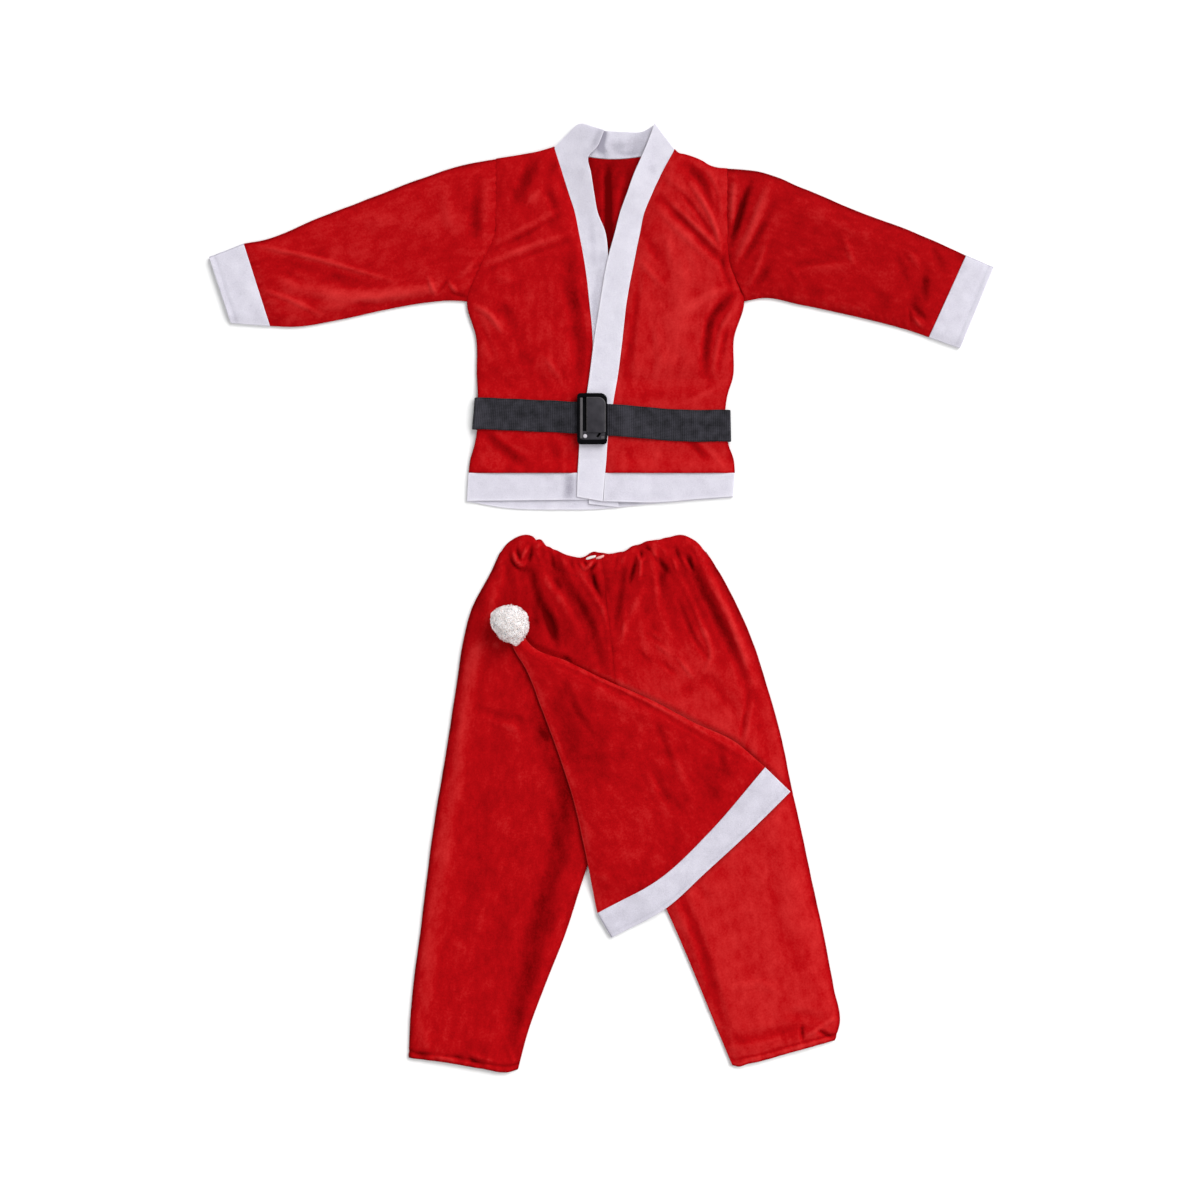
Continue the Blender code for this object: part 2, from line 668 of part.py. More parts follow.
def hat():
    """One folded piece seamed along its upper edge, its felt band, and the pompom on its tip."""
    cloth = folded_heights(hat_floor, VELOUR, AIR)
    felt = folded_heights(hat_floor, FELT, AIR)
    grid = loft(HAT, 8, 2, inset=(VELOUR + AIR + VELOUR) / 2)
    shell("hat_body", folded(grid, *cloth), VELOUR, RED_VELOUR)
    brim = spread(HAT[-1], 8)
    band = loft((apart(brim, HAT_EDGE), HAT_EDGE), 8, 2, inset=(FELT + AIR + FELT) / 2)
    shell("hat_band", folded(band, *felt), FELT, WHITE_FELT)

    ball = bmesh.new()
    bmesh.ops.create_icosphere(ball, subdivisions=3, radius=1)
    centre = Vector((*POMPOM_CENTRE, HAT_Z + POMPOM_HALF_HEIGHT))
    reach = Vector((POMPOM_RADIUS, POMPOM_RADIUS, POMPOM_HALF_HEIGHT))
    points = [centre + Vector(a * b for a, b in zip(vert.co, reach)) for vert in ball.verts]
    faces = [tuple(vert.index for vert in face.verts) for face in ball.faces]
    ball.free()
    add_mesh("hat_pompom", points, faces, WHITE_FLUFF)


jacket_body()
front_bands()
hem_bands()
sleeves()
belt()
buckle()
trousers()
hat()
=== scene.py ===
import math

import bmesh
import bpy
import numpy as np
from mathutils import Euler, Matrix, Vector


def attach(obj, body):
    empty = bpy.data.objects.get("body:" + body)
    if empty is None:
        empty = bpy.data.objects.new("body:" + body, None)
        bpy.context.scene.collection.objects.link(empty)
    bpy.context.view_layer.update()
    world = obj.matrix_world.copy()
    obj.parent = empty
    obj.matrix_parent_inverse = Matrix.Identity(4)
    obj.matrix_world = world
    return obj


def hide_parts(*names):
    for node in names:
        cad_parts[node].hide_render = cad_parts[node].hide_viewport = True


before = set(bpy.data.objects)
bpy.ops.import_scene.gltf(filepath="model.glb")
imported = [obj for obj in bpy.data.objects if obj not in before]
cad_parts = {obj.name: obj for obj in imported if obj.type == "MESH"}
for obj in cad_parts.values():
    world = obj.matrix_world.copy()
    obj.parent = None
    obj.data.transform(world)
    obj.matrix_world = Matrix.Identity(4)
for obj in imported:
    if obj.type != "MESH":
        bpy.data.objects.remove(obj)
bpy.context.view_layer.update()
print("frame loaded:", len(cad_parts), "nodes")

# every table is in millimetres, X towards the wearer's left and Y towards the neck
suit = {
    "mm": 0.001,
    "middle": (1.0, 0.42),  # of the whole layout
    "velour": 1.2,
    "felt": 1.6,
    "webbing": 1.6,
    "seamGap": 0.15,
    "air": 1.2,  # between the layers of a folded piece
    "backZ": 0.6,
    "sideSeamZ": 2.1,
    "backFeltZ": 0.8,
    "frontFeltZ": 2.8,
    "step": 3.0,  # spacing of the cloth's grid
    "roundness": 0.2,  # how far a wall's edge bulges, as a share of its thickness
    "troughDepth": 1.7,  # how much deeper or higher than its own figure every crease is set
    "ridgeHeight": 1.4,
    "hiddenRoom": 0.7,  # least room between a hidden trough and the layer over it
    "paintedEdgeShade": 2.4,  # painted shade where an edge turns down, as mm of trough
}


def ramp(value, start, end):
    return np.clip((value - start) / (end - start), 0, 1)


def ease(value, start, end):
    t = ramp(value, start, end)
    return t * t * (3 - 2 * t)


def pillow(distance, reach):
    return 1 - (1 - ramp(distance, 0, reach)) ** 2


def fading(distance, reach):
    return np.exp(-distance / reach)


def bell(value, middle, wide):
    return np.exp(-(((value - middle) / wide) ** 2))


def unit(vectors):
    return vectors / np.linalg.norm(vectors, axis=-1, keepdims=True)


def lengthsAlong(points, axis=0):
    # how far along its line each point is, for one line or every line of a grid
    steps = np.linalg.norm(np.diff(points, axis=axis), axis=-1)
    return np.concatenate([np.zeros_like(steps.take([0], axis)), np.cumsum(steps, axis=axis)], axis=axis)


def pointsAt(at, lengths, line):
    return np.stack([np.interp(at, lengths, column) for column in line.T], axis=1)


def ripple(x, y, length, seed):
    # an even, aimless unevenness with waves of about this length
    rng = np.random.default_rng(seed)
    total = np.zeros_like(x)
    for _ in range(12):
        angle = rng.uniform(0, 2 * math.pi)
        size = length * rng.uniform(0.6, 1.7)
        phase = rng.uniform(0, 2 * math.pi)
        total += np.sin(2 * math.pi * (x * math.cos(angle) + y * math.sin(angle)) / size + phase)
    return total / math.sqrt(6)


def uneven(g, waves, seed):
    height, length = waves
    return height * ripple(g["x"], g["y"], length, seed)


def smoothRows(rows, spacing):
    # smooth columns through rows of points, with a new row about every so many mm
    rows = np.array(rows, float)
    spans = np.maximum(np.linalg.norm(np.diff(rows, axis=0), axis=2, keepdims=True), 1e-6)
    slopes = np.diff(rows, axis=0) / spans
    inner = (slopes[:-1] * spans[1:] + slopes[1:] * spans[:-1]) / (spans[:-1] + spans[1:])
    tangents = np.concatenate([slopes[:1], inner, slopes[-1:]])
    parts = [rows[:1]]
    for k, span in enumerate(spans):
        steps = max(1, round(float(span.mean()) / spacing))
        t = (np.arange(1, steps + 1) / steps)[:, None, None]
        start = rows[k] * (2 * t**3 - 3 * t**2 + 1) + tangents[k] * span * (t**3 - 2 * t**2 + t)
        end = rows[k + 1] * (3 * t**2 - 2 * t**3) + tangents[k + 1] * span * (t**3 - t**2)
        parts.append(start + end)
    return np.concatenate(parts)


def spreadPoints(points, count, inset=0):
    # count + 1 points evenly along the smooth line through the points
    line = smoothRows([[point] for point in points], 1.5)[:, 0]
    lengths = lengthsAlong(line)
    return pointsAt(np.linspace(inset, lengths[-1], count + 1), lengths, line)


def loftGrid(rows, inset=0, step=suit["step"]):
    widest = max(lengthsAlong(np.array(row, float))[-1] for row in rows)
    across = max(4, round(widest / step))
    return smoothRows([spreadPoints(row, across, inset) for row in rows], step)


def movedOff(row, towards, gap):
    # the row moved off its seam, towards the next row
    return row + unit(spreadPoints(towards, len(row) - 1) - row) * gap


def creaseField(x, y, creases):
    # ridges and troughs, each with its width, its rise and the points it runs through; it fades out
    # across its line and at both ends, and a sharp one stands up narrowly along the line
    lift = np.zeros_like(x)
    for wide, rise, points, *sharp in creases:
        points = np.array(points, float)
        count = max(6, round(lengthsAlong(points)[-1] / 2.5))
        line = spreadPoints(points, count)
        low, high = line.min(axis=0) - wide, line.max(axis=0) + wide
        near = (x > low[0]) & (x < high[0]) & (y > low[1]) & (y < high[1])
        if not near.any():
            continue
        gap = np.hypot(x[near][:, None] - line[:, 0], y[near][:, None] - line[:, 1])
        share = gap.argmin(axis=1) / count
        away = np.minimum(gap.min(axis=1) / wide, 1)
        across = (1 - away) ** 2 * (1 + 0.6 * away) if sharp else np.cos(math.pi / 2 * away) ** 2
        scale = suit["ridgeHeight"] if rise > 0 else suit["troughDepth"]
        lift[near] += rise * scale * across * np.sin(math.pi * (0.06 + 0.88 * share)) ** 0.8
    return lift


def gridFacts(flat):
    # where each point of a flat grid is, and how far along the cloth from every edge
    fromFold = lengthsAlong(flat, 1)
    fromTop = lengthsAlong(flat)
    facts = {"x": flat[..., 0], "y": flat[..., 1], "fromFold": fromFold, "fromTop": fromTop}
    return facts | {"toSeam": fromFold[:, -1:] - fromFold, "toEnd": fromTop[-1:] - fromTop}


def insideOf(g, **reach):
    # nothing at each named edge, whole from that many mm inside it
    share = 1.0
    for edge, far in reach.items():
        share = share * ramp(g[edge], 0, far)
    return share


def paintedEdgeShade(distance, reach=2.2):
    # painted shade where the cloth turns down at an edge or a seam
    return -suit["paintedEdgeShade"] * fading(distance, reach)


def foldedOver(flat, under, over, relief, underRelief, foldTone=-suit["paintedEdgeShade"]):
    # a sheet folded along the grid's first column: in on its under layer, round, and out on its over layer
    turns = 5
    kept = np.unique(np.r_[0 : flat.shape[1] : 3, flat.shape[1] - 1])[::-1]
    low = np.dstack([flat, under])
    high = np.dstack([flat, over])
    outwards = np.pad(unit(flat[:, 0] - flat[:, 1]), ((0, 0), (0, 1)))
    middle = (low[:, 0] + high[:, 0]) / 2
    radius = (over[:, 0] - under[:, 0])[:, None] / 2
    bend = []
    for angle in math.pi * np.arange(1, turns + 1) / (turns + 1):
        up = np.array([0, 0, -math.cos(angle)])
        bend.append(middle + outwards * radius * math.sin(angle) + up * radius)
    sheet = np.concatenate([low[:, kept], np.stack(bend, axis=1), high], axis=1)
    # the fold's round is painted in foldTone, painted shade unless a piece gives a lighter one
    plain = np.full((len(flat), turns), foldTone)
    return sheet, np.concatenate([underRelief[:, kept], plain, relief], axis=1)


def withEdgeLoops(values, share=0.15):
    # one more row and column close inside every edge, so that the cloth's edges stay crisp
    for axis in (0, 1):
        values = np.moveaxis(values, axis, 0)
        first = values[:1] * (1 - share) + values[1:2] * share
        last = values[-1:] * (1 - share) + values[-2:-1] * share
        values = np.concatenate([values[:1], first, values[1:-1], last, values[-1:]])
        values = np.moveaxis(values, 0, axis)
    return values


def clothWall(name, grid, wall, material, relief, farRelief=None):
    # a closed wall with round edges along a grid of points in mm; keeps a UV in metres and the relief, from
    # which the material paints light and shade, where farRelief is for the face that looks down
    farRelief = withEdgeLoops(relief if farRelief is None else farRelief)
    grid = withEdgeLoops(grid)
    relief = withEdgeLoops(relief)
    rows, across = grid.shape[:2]
    normal = unit(np.cross(np.gradient(grid, axis=0), np.gradient(grid, axis=1)))
    rim = [(0, j) for j in range(across)] + [(i, across - 1) for i in range(1, rows)]
    rim += [(rows - 1, j) for j in range(across - 2, -1, -1)] + [(i, 0) for i in range(rows - 2, 0, -1)]
    i, j = np.array(rim).T
    edge = grid[i, j]
    inner = grid[np.clip(i, 1, rows - 2), np.clip(j, 1, across - 2)]
    middle = edge + unit(edge - inner) * wall * suit["roundness"]
    upper, lower = ((grid + normal * half).reshape(-1, 3) for half in (wall / 2, -wall / 2))

    corner = (np.arange(rows - 1)[:, None] * across + np.arange(across - 1)).ravel()
    top = np.stack([corner, corner + 1, corner + across + 1, corner + across], axis=1)
    far = rows * across
    a = i * across + j
    b = np.roll(a, -1)
    m = 2 * far + np.arange(len(rim))
    n = np.roll(m, -1)
    sides = [np.stack([b, a, m, n], axis=1), np.stack([n, m, a + far, b + far], axis=1)]
    faces = np.concatenate([top, far + top[:, ::-1], *sides])
    v = np.repeat(lengthsAlong(grid).mean(axis=1), across)
    uv = np.stack([lengthsAlong(grid, 1).ravel(), v], axis=1) * suit["mm"]
    faceReliefs = [relief.ravel(), farRelief.ravel()]
    if normal[..., 2].mean() < 0:
        faceReliefs.reverse()
    lift = np.concatenate([*faceReliefs, relief[i, j]])
    points = np.concatenate([upper, lower, middle])
    return addPiece(name, points, faces, material, np.concatenate([uv, uv, uv[a]]), lift)


def addPiece(name, points, faces, material, uv=None, relief=None):
    points = (np.array(points) - np.array([*suit["middle"], 0])) * suit["mm"]
    faces = np.array(faces)
    corners = points[faces]
    volume = 0
    for k in range(1, faces.shape[1] - 1):
        volume += np.einsum("ij,ij->i", corners[:, 0], np.cross(corners[:, k], corners[:, k + 1])).sum()
    if volume < 0:
        faces = faces[:, ::-1]
    mesh = bpy.data.meshes.new(name)
    mesh.from_pydata(points.tolist(), [], faces.tolist())
    mesh.shade_smooth()
    if uv is not None:
        mesh.uv_layers.new(name="cloth").data.foreach_set("uv", uv[faces.ravel()].ravel())
    if relief is not None:
        mesh.attributes.new("relief", "FLOAT", "POINT").data.foreach_set("value", relief)
    mesh.materials.append(material)
    piece = bpy.data.objects.new(name, mesh)
    bpy.context.scene.collection.objects.link(piece)
    return piece


def place(piece, slotName, *nodes):
    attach(piece, "root")
    if nodes:
        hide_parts(*nodes)
    return piece


def outsideBy(x, y, outline):
    # how far outside an outline each point is, negative inside it
    outline = np.array(outline, float)
    inside = np.zeros(x.shape, bool)
    nearest = np.full(x.shape, 1e9)
    for (ax, ay), (bx, by) in zip(outline, np.roll(outline, -1, axis=0)):
        crosses = (ay > y) != (by > y)
        with np.errstate(divide="ignore", invalid="ignore"):
            inside ^= crosses & (x < (bx - ax) * (y - ay) / (by - ay) + ax)
        share = ((x - ax) * (bx - ax) + (y - ay) * (by - ay)) / ((bx - ax) ** 2 + (by - ay) ** 2)
        share = np.clip(share, 0, 1)
        nearest = np.minimum(nearest, np.hypot(x - ax - share * (bx - ax), y - ay - share * (by - ay)))
    return np.where(inside, -nearest, nearest)


def puckers(distance, along, seed, height=0.25, wave=9.0, reach=8.0):
    # little gathers that a line of sewing pulls into the cloth beside it
    rng = np.random.default_rng(seed)
    drift = sum(np.sin(along / (wave * waves) + rng.uniform(0, 6)) for waves in (3.7, 2.3))
    return height * np.sin(2 * math.pi * along / wave + 1.5 * drift) * fading(distance, reach)


stitch = {
    "length": 3.0,
    "gap": 1.0,
    "wide": 0.5,
    "sink": 0.3,
    # how far along each ring of the thread is, how full, and how high for its width
    "rings": ((0.0, 0.25, -0.6), (0.25, 0.9, 0.5), (0.75, 0.9, 0.5), (1.0, 0.25, -0.6)),
}


def stitchRow(name, path, material, slotName):
    # a row of thread stitches along points that lie on the cloth's face
    lengths = lengthsAlong(path)
    pitch = stitch["length"] + stitch["gap"]
    points, faces = [], []
    for k in range(int(lengths[-1] // pitch)):
        start, end = pointsAt([k * pitch, k * pitch + stitch["length"]], lengths, path)
        side = unit(np.cross(end - start, (0, 0, 1)))
        first = len(points)
        for share, full, rise in stitch["rings"]:
            centre = start + (end - start) * share + np.array([0, 0, rise * stitch["wide"] - stitch["sink"]])
            reach = stitch["wide"] / 2 * full
            for turn in range(4):
                angle = math.pi / 2 * turn + math.pi / 4
                up = np.array([0, 0, reach * math.sin(angle)])
                points.append(centre + side * reach * math.cos(angle) + up)
        for ring in range(3):
            for turn in range(4):
                a = first + ring * 4 + turn
                b = first + ring * 4 + (turn + 1) % 4
                faces.append((a, b, b + 4, a + 4))
        faces.append((first + 3, first + 2, first + 1, first))
        faces.append((first + 12, first + 13, first + 14, first + 15))
    return place(addPiece(name, points, faces, material), slotName)


def atDistance(grid, distance, wanted, lift):
    # the line on a grid at some distance from one end, each column on its own, raised by lift
    line = []
    for column, steps in zip(grid.swapaxes(0, 1), distance.T):
        order = np.argsort(steps)
        line.append(pointsAt([wanted], steps[order], column[order])[0])
    return np.array(line) + (0, 0, lift)


def nodeIn(tree, kind, links=(), **settings):
    # a node with its settings and its linked or fixed inputs
    node = tree.nodes.new(kind)
    for key, value in settings.items():
        setattr(node, key, value)
    for socket, source in dict(links).items():
        if isinstance(source, bpy.types.NodeSocket):
            tree.links.new(source, node.inputs[socket])
        else:
            node.inputs[socket].default_value = source
    return node


def mathIn(tree, operation, *values):
    return nodeIn(tree, "ShaderNodeMath", dict(enumerate(values)), operation=operation).outputs[0]


def noiseIn(tree, vector, scale, detail=2.0, roughness=0.5, output=0):
    links = {"Vector": vector, "Scale": scale, "Detail": detail, "Roughness": roughness}
    return nodeIn(tree, "ShaderNodeTexNoise", links).outputs[output]


def centred(tree, value):
    return mathIn(tree, "SUBTRACT", value, 0.5)


def newGroup(name, inputs, outputs):
    # a group that takes a vector and named numbers, and puts out named numbers
    tree = bpy.data.node_groups.new(name, "ShaderNodeTree")
    tree.interface.new_socket(name="Vector", in_out="INPUT", socket_type="NodeSocketVector")
    for label, value in inputs.items():
        socket = tree.interface.new_socket(name=label, in_out="INPUT", socket_type="NodeSocketFloat")
        socket.default_value = value
    for label in outputs:
        tree.interface.new_socket(name=label, in_out="OUTPUT", socket_type="NodeSocketFloat")
    return tree, tree.nodes.new("NodeGroupInput").outputs, tree.nodes.new("NodeGroupOutput").inputs


def makeNapGroup():
    # soft mottling of a brushed pile: blotches, short streaks along the nap, clouds, and fine fuzz
    amounts = {"Blotch": 0.5, "Streak": 0.5, "Cloud": 0.3}
    tree, given, wanted = newGroup("napMottle", amounts, ["Shade", "Fuzz"])
    vector = given["Vector"]
    stretched = nodeIn(tree, "ShaderNodeMapping", {"Vector": vector, "Scale": (1.0, 0.55, 1.0)}).outputs[0]
    noises = []
    for label, where, scale, detail in (
        ("Blotch", stretched, 120.0, 3.0),
        ("Streak", vector, 430.0, 2.0),
        ("Cloud", stretched, 36.0, 3.0),
    ):
        noise = centred(tree, noiseIn(tree, where, scale, detail, 0.6))
        noises.append(mathIn(tree, "MULTIPLY", noise, given[label]))
    both = mathIn(tree, "ADD", noises[0], noises[1])
    tree.links.new(mathIn(tree, "ADD", both, noises[2]), wanted["Shade"])
    tree.links.new(noiseIn(tree, stretched, 1700.0), wanted["Fuzz"])
    return tree


def makeFibreGroup():
    # needled felt: tangled short fibres and faint thick and thin places
    tree, given, wanted = newGroup("feltFibre", {"Tangle": 0.5}, ["Shade", "Height"])
    vector = given["Vector"]
    bent = noiseIn(tree, vector, 260.0, output="Color")
    warp = nodeIn(tree, "ShaderNodeVectorMath", {0: bent, 3: 0.006}, operation="SCALE").outputs[0]
    moved = nodeIn(tree, "ShaderNodeVectorMath", {0: vector, 1: warp}, operation="ADD").outputs[0]
    fibre = noiseIn(tree, moved, 900.0, 4.0, 0.7)
    tangled = mathIn(tree, "MULTIPLY", centred(tree, fibre), given["Tangle"])
    clouded = centred(tree, noiseIn(tree, vector, 75.0, 3.0))
    tree.links.new(mathIn(tree, "MULTIPLY_ADD", clouded, 0.30, tangled), wanted["Shade"])
    tree.links.new(fibre, wanted["Height"])
    return tree


def newMaterial(name, constants):
    material = bpy.data.materials.new(name)
    material.use_nodes = True
    tree = material.node_tree
    shader = tree.nodes["Principled BSDF"].inputs
    for socket, value in constants.items():
        shader[socket].default_value = value
    return material, tree, shader


def finishWith(tree, shader, colour, height, distance, strength=1.0):
    # the colour, and a fine bump that stands so many metres high
    tree.links.new(colour, shader["Base Color"])
    bump = nodeIn(tree, "ShaderNodeBump", {"Height": height, "Distance": distance, "Strength": strength})
    tree.links.new(bump.outputs[0], shader["Normal"])


def objectPlace(tree):
    return tree.nodes.new("ShaderNodeTexCoord").outputs["Object"]


def withReliefShade(tree, amount, shade):
    # painted light and shade: ridges are painted lighter and troughs darker
    relief = nodeIn(tree, "ShaderNodeAttribute", attribute_name="relief").outputs["Fac"]
    return mathIn(tree, "MULTIPLY_ADD", relief, amount, shade)


def colourBetween(tree, factor, low, high):
    # factor runs from -0.5 to 0.5 around the middle of the two colours
    links = {0: mathIn(tree, "ADD", factor, 0.5), 6: (*low, 1), 7: (*high, 1)}
    return nodeIn(tree, "ShaderNodeMix", links, data_type="RGBA", clamp_factor=True).outputs[2]


def threeStops(tree, factor, look, shade=1.0, lighter=0.0):
    # as colourBetween, through the look's low, middle and high colours
    ramped = nodeIn(tree, "ShaderNodeValToRGB", {0: mathIn(tree, "ADD", factor, 0.5 + lighter)})
    ramped.color_ramp.elements.new(0.5)
    for stop, colour in zip(ramped.color_ramp.elements, ("low", "middle", "high")):
        stop.color = (*[value * shade for value in look[colour]], 1)
    return ramped.outputs[0]


velourLook = {
    # low is painted shade and high painted sheen: troughs and edges reach low, ridges reach high, and the
    # nap's mottle moves between them
    "low": (0.100, 0.0001, 0.0006),
    "middle": (0.355, 0.0024, 0.0042),
    "high": (0.560, 0.0300, 0.0290),
    "relief": 0.13,  # how much a mm of ridge or trough paints the velour lighter or darker, as painted light and shade
    "mottle": {"Blotch": 0.42, "Streak": 0.34, "Cloud": 0.24},
    "fuzz": 0.00018,
    "constants": {
        "Roughness": 0.82,
        "Specular IOR Level": 0.12,
        "Specular Tint": (1.0, 0.05, 0.05, 1.0),
        "Sheen Weight": 0.20,
        "Sheen Roughness": 0.4,
        "Sheen Tint": (1.0, 0.02, 0.02, 1.0),
    },
}
feltLook = {
    "low": (0.300, 0.285, 0.345),
    "middle": (0.575, 0.556, 0.630),
    "high": (0.750, 0.735, 0.800),
    "relief": 0.14,
    "tangle": 0.75,
    "fuzz": 0.00025,
    "constants": {
        "Roughness": 0.95,
        "Specular IOR Level": 0.2,
        "Sheen Weight": 0.15,
        "Sheen Roughness": 0.6,
        "Subsurface Weight": 0.35,
        "Subsurface Radius": (1.0, 0.95, 1.0),
        "Subsurface Scale": 0.003,
    },
}
webbingLook = {
    "low": (0.005, 0.005, 0.007),
    "high": (0.036, 0.034, 0.044),
    # how much a mm of wave paints the strap lighter or darker, as painted light and shade
    "relief": 0.25,
    "ribs": 0.0022,  # from one rib to the next
    "height": 0.00035,
    "weave": 0.14,
    "cloud": 1.7,
    "halfWidth": 0.0187,
    "darkEdge": 0.0020,
    "darkEdgeAmount": 0.35,
    "constants": {"Roughness": 0.8, "Specular IOR Level": 0.15, "Sheen Weight": 0.05},
}


def makeVelour(name, napTurn, shade=1.0, lighter=0.0):
    material, tree, shader = newMaterial(name, velourLook["constants"])
    turn = {"Vector": objectPlace(tree), "Rotation": (0, 0, math.radians(napTurn))}
    links = {"Vector": nodeIn(tree, "ShaderNodeMapping", turn).outputs[0]} | velourLook["mottle"]
    nap = nodeIn(tree, "ShaderNodeGroup", links, node_tree=napGroup).outputs
    napAndShade = withReliefShade(tree, velourLook["relief"], nap["Shade"])
    colour = threeStops(tree, napAndShade, velourLook, shade, lighter)
    finishWith(tree, shader, colour, nap["Fuzz"], velourLook["fuzz"])
    return material


def makeFelt():
    material, tree, shader = newMaterial("whiteFelt", feltLook["constants"])
    links = {"Vector": objectPlace(tree), "Tangle": feltLook["tangle"]}
    fibre = nodeIn(tree, "ShaderNodeGroup", links, node_tree=fibreGroup).outputs
    shade = withReliefShade(tree, feltLook["relief"], fibre["Shade"])
    finishWith(tree, shader, threeStops(tree, shade, feltLook), fibre["Height"], feltLook["fuzz"])
    return material


def makeWebbing():
    # a plain strap weave: ribs across the strap, each broken by the threads that run along it
    look = webbingLook
    material, tree, shader = newMaterial("blackWebbing", look["constants"])
    where = nodeIn(tree, "ShaderNodeUVMap", uv_map="cloth").outputs[0]
    across, along = nodeIn(tree, "ShaderNodeSeparateXYZ", {0: where}).outputs[:2]
    pitch = 2 * math.pi / look["ribs"]
    rib = mathIn(tree, "SINE", mathIn(tree, "MULTIPLY", along, pitch))
    thread = mathIn(tree, "SINE", mathIn(tree, "MULTIPLY", across, pitch * 1.25))
    weave = mathIn(tree, "MULTIPLY_ADD", thread, 0.6, rib)
    clouded = mathIn(tree, "MULTIPLY", centred(tree, noiseIn(tree, where, 90.0, 3.0)), look["cloud"])
    # darker along both edges of the strap
    fromMiddle = mathIn(tree, "ABSOLUTE", mathIn(tree, "SUBTRACT", across, look["halfWidth"]))
    inwards = mathIn(tree, "SUBTRACT", fromMiddle, look["halfWidth"] - look["darkEdge"])
    darkEdge = mathIn(tree, "MULTIPLY", inwards, look["darkEdgeAmount"] / look["darkEdge"])
    clouded = mathIn(tree, "SUBTRACT", clouded, mathIn(tree, "MAXIMUM", darkEdge, 0.0))
    shade = mathIn(tree, "MULTIPLY_ADD", weave, look["weave"], withReliefShade(tree, look["relief"], clouded))
    colour = colourBetween(tree, shade, look["low"], look["high"])
    finishWith(tree, shader, colour, weave, look["height"], 0.6)
    return material


def makePlastic(name, low, high, roughness, grain, shine):
    # moulded plastic with a fine grain and faint handling marks
    material, tree, shader = newMaterial(name, {"Specular IOR Level": shine})
    where = objectPlace(tree)
    smear = noiseIn(tree, where, 120.0, 3.0)
    tree.links.new(mathIn(tree, "MULTIPLY_ADD", smear, 0.22, roughness - 0.11), shader["Roughness"])
    colour = colourBetween(tree, centred(tree, smear), low, high)
    finishWith(tree, shader, colour, noiseIn(tree, where, 2400.0), grain)
    return material


def makeYarn(name, low, high, scale, scatter=0.0):
    # thread, elastic and pompom yarn: short light and dark lengths
    constants = {"Roughness": 0.9, "Specular IOR Level": 0.1, "Subsurface Weight": scatter}
    constants |= {"Subsurface Radius": (1.0, 0.9, 0.85), "Subsurface Scale": 0.04}
    material, tree, shader = newMaterial(name, constants)
    tuft = noiseIn(tree, objectPlace(tree), scale, 4.0)
    finishWith(tree, shader, colourBetween(tree, centred(tree, tuft), low, high), tuft, 0.0004)
    return material


napGroup = makeNapGroup()
fibreGroup = makeFibreGroup()
# copies of one velour, one for each piece: turned with its nap, and painted a little lighter or darker for
# the light that piece gets
frontRightVelour = makeVelour("frontRightVelour", 0, 1.02)
frontLeftVelour = makeVelour("frontLeftVelour", 5, 1.0, 0.10)
backVelour = makeVelour("backVelour", 0)
sleeveRightVelour = makeVelour("sleeveRightVelour", 70, 1.0, 0.02)
sleeveLeftVelour = makeVelour("sleeveLeftVelour", -68, 0.93, -0.035)
legRightVelour = makeVelour("legRightVelour", 7, 0.98, -0.035)
legLeftVelour = makeVelour("legLeftVelour", -14, 1.01, -0.01)
hatVelour = makeVelour("hatVelour", -42, 0.98, -0.035)
whiteFelt = makeFelt()
blackWebbing = makeWebbing()
frameGloss = makePlastic("buckleGloss", (0.001, 0.001, 0.0015), (0.003, 0.003, 0.004), 0.3, 0.00002, 0.05)
leverSatin = makePlastic("leverSatin", (0.014, 0.013, 0.017), (0.040, 0.037, 0.045), 0.5, 0.00004, 0.2)
# lighter grey plastic for the rib, the lever's rim and the stud, partly painted highlight for the light
# lines and patch they show
ribSatinAndHighlight = makePlastic("ribSatinAndHighlight", (0.055, 0.051, 0.055), (0.100, 0.092, 0.099), 0.45, 0.00004, 0.2)
pinSteel = makePlastic("pinSteel", (0.40, 0.38, 0.42), (0.52, 0.49, 0.53), 0.5, 0.00001, 0.3)
elasticYarn = makeYarn("elasticYarn", (0.50, 0.46, 0.46), (0.80, 0.76, 0.74), 900.0)
# a copy of the elastic painted darker and redder, in shade
elasticShaded = makeYarn("elasticShaded", (0.55, 0.22, 0.21), (0.82, 0.46, 0.44), 900.0)
fluffYarn = makeYarn("fluffYarn", (0.71, 0.665, 0.66), (0.82, 0.78, 0.772), 260.0, 1.0)
redThread = makeYarn("redThread", (0.20, 0.001, 0.003), (0.36, 0.004, 0.006), 1500.0)
print("materials made")


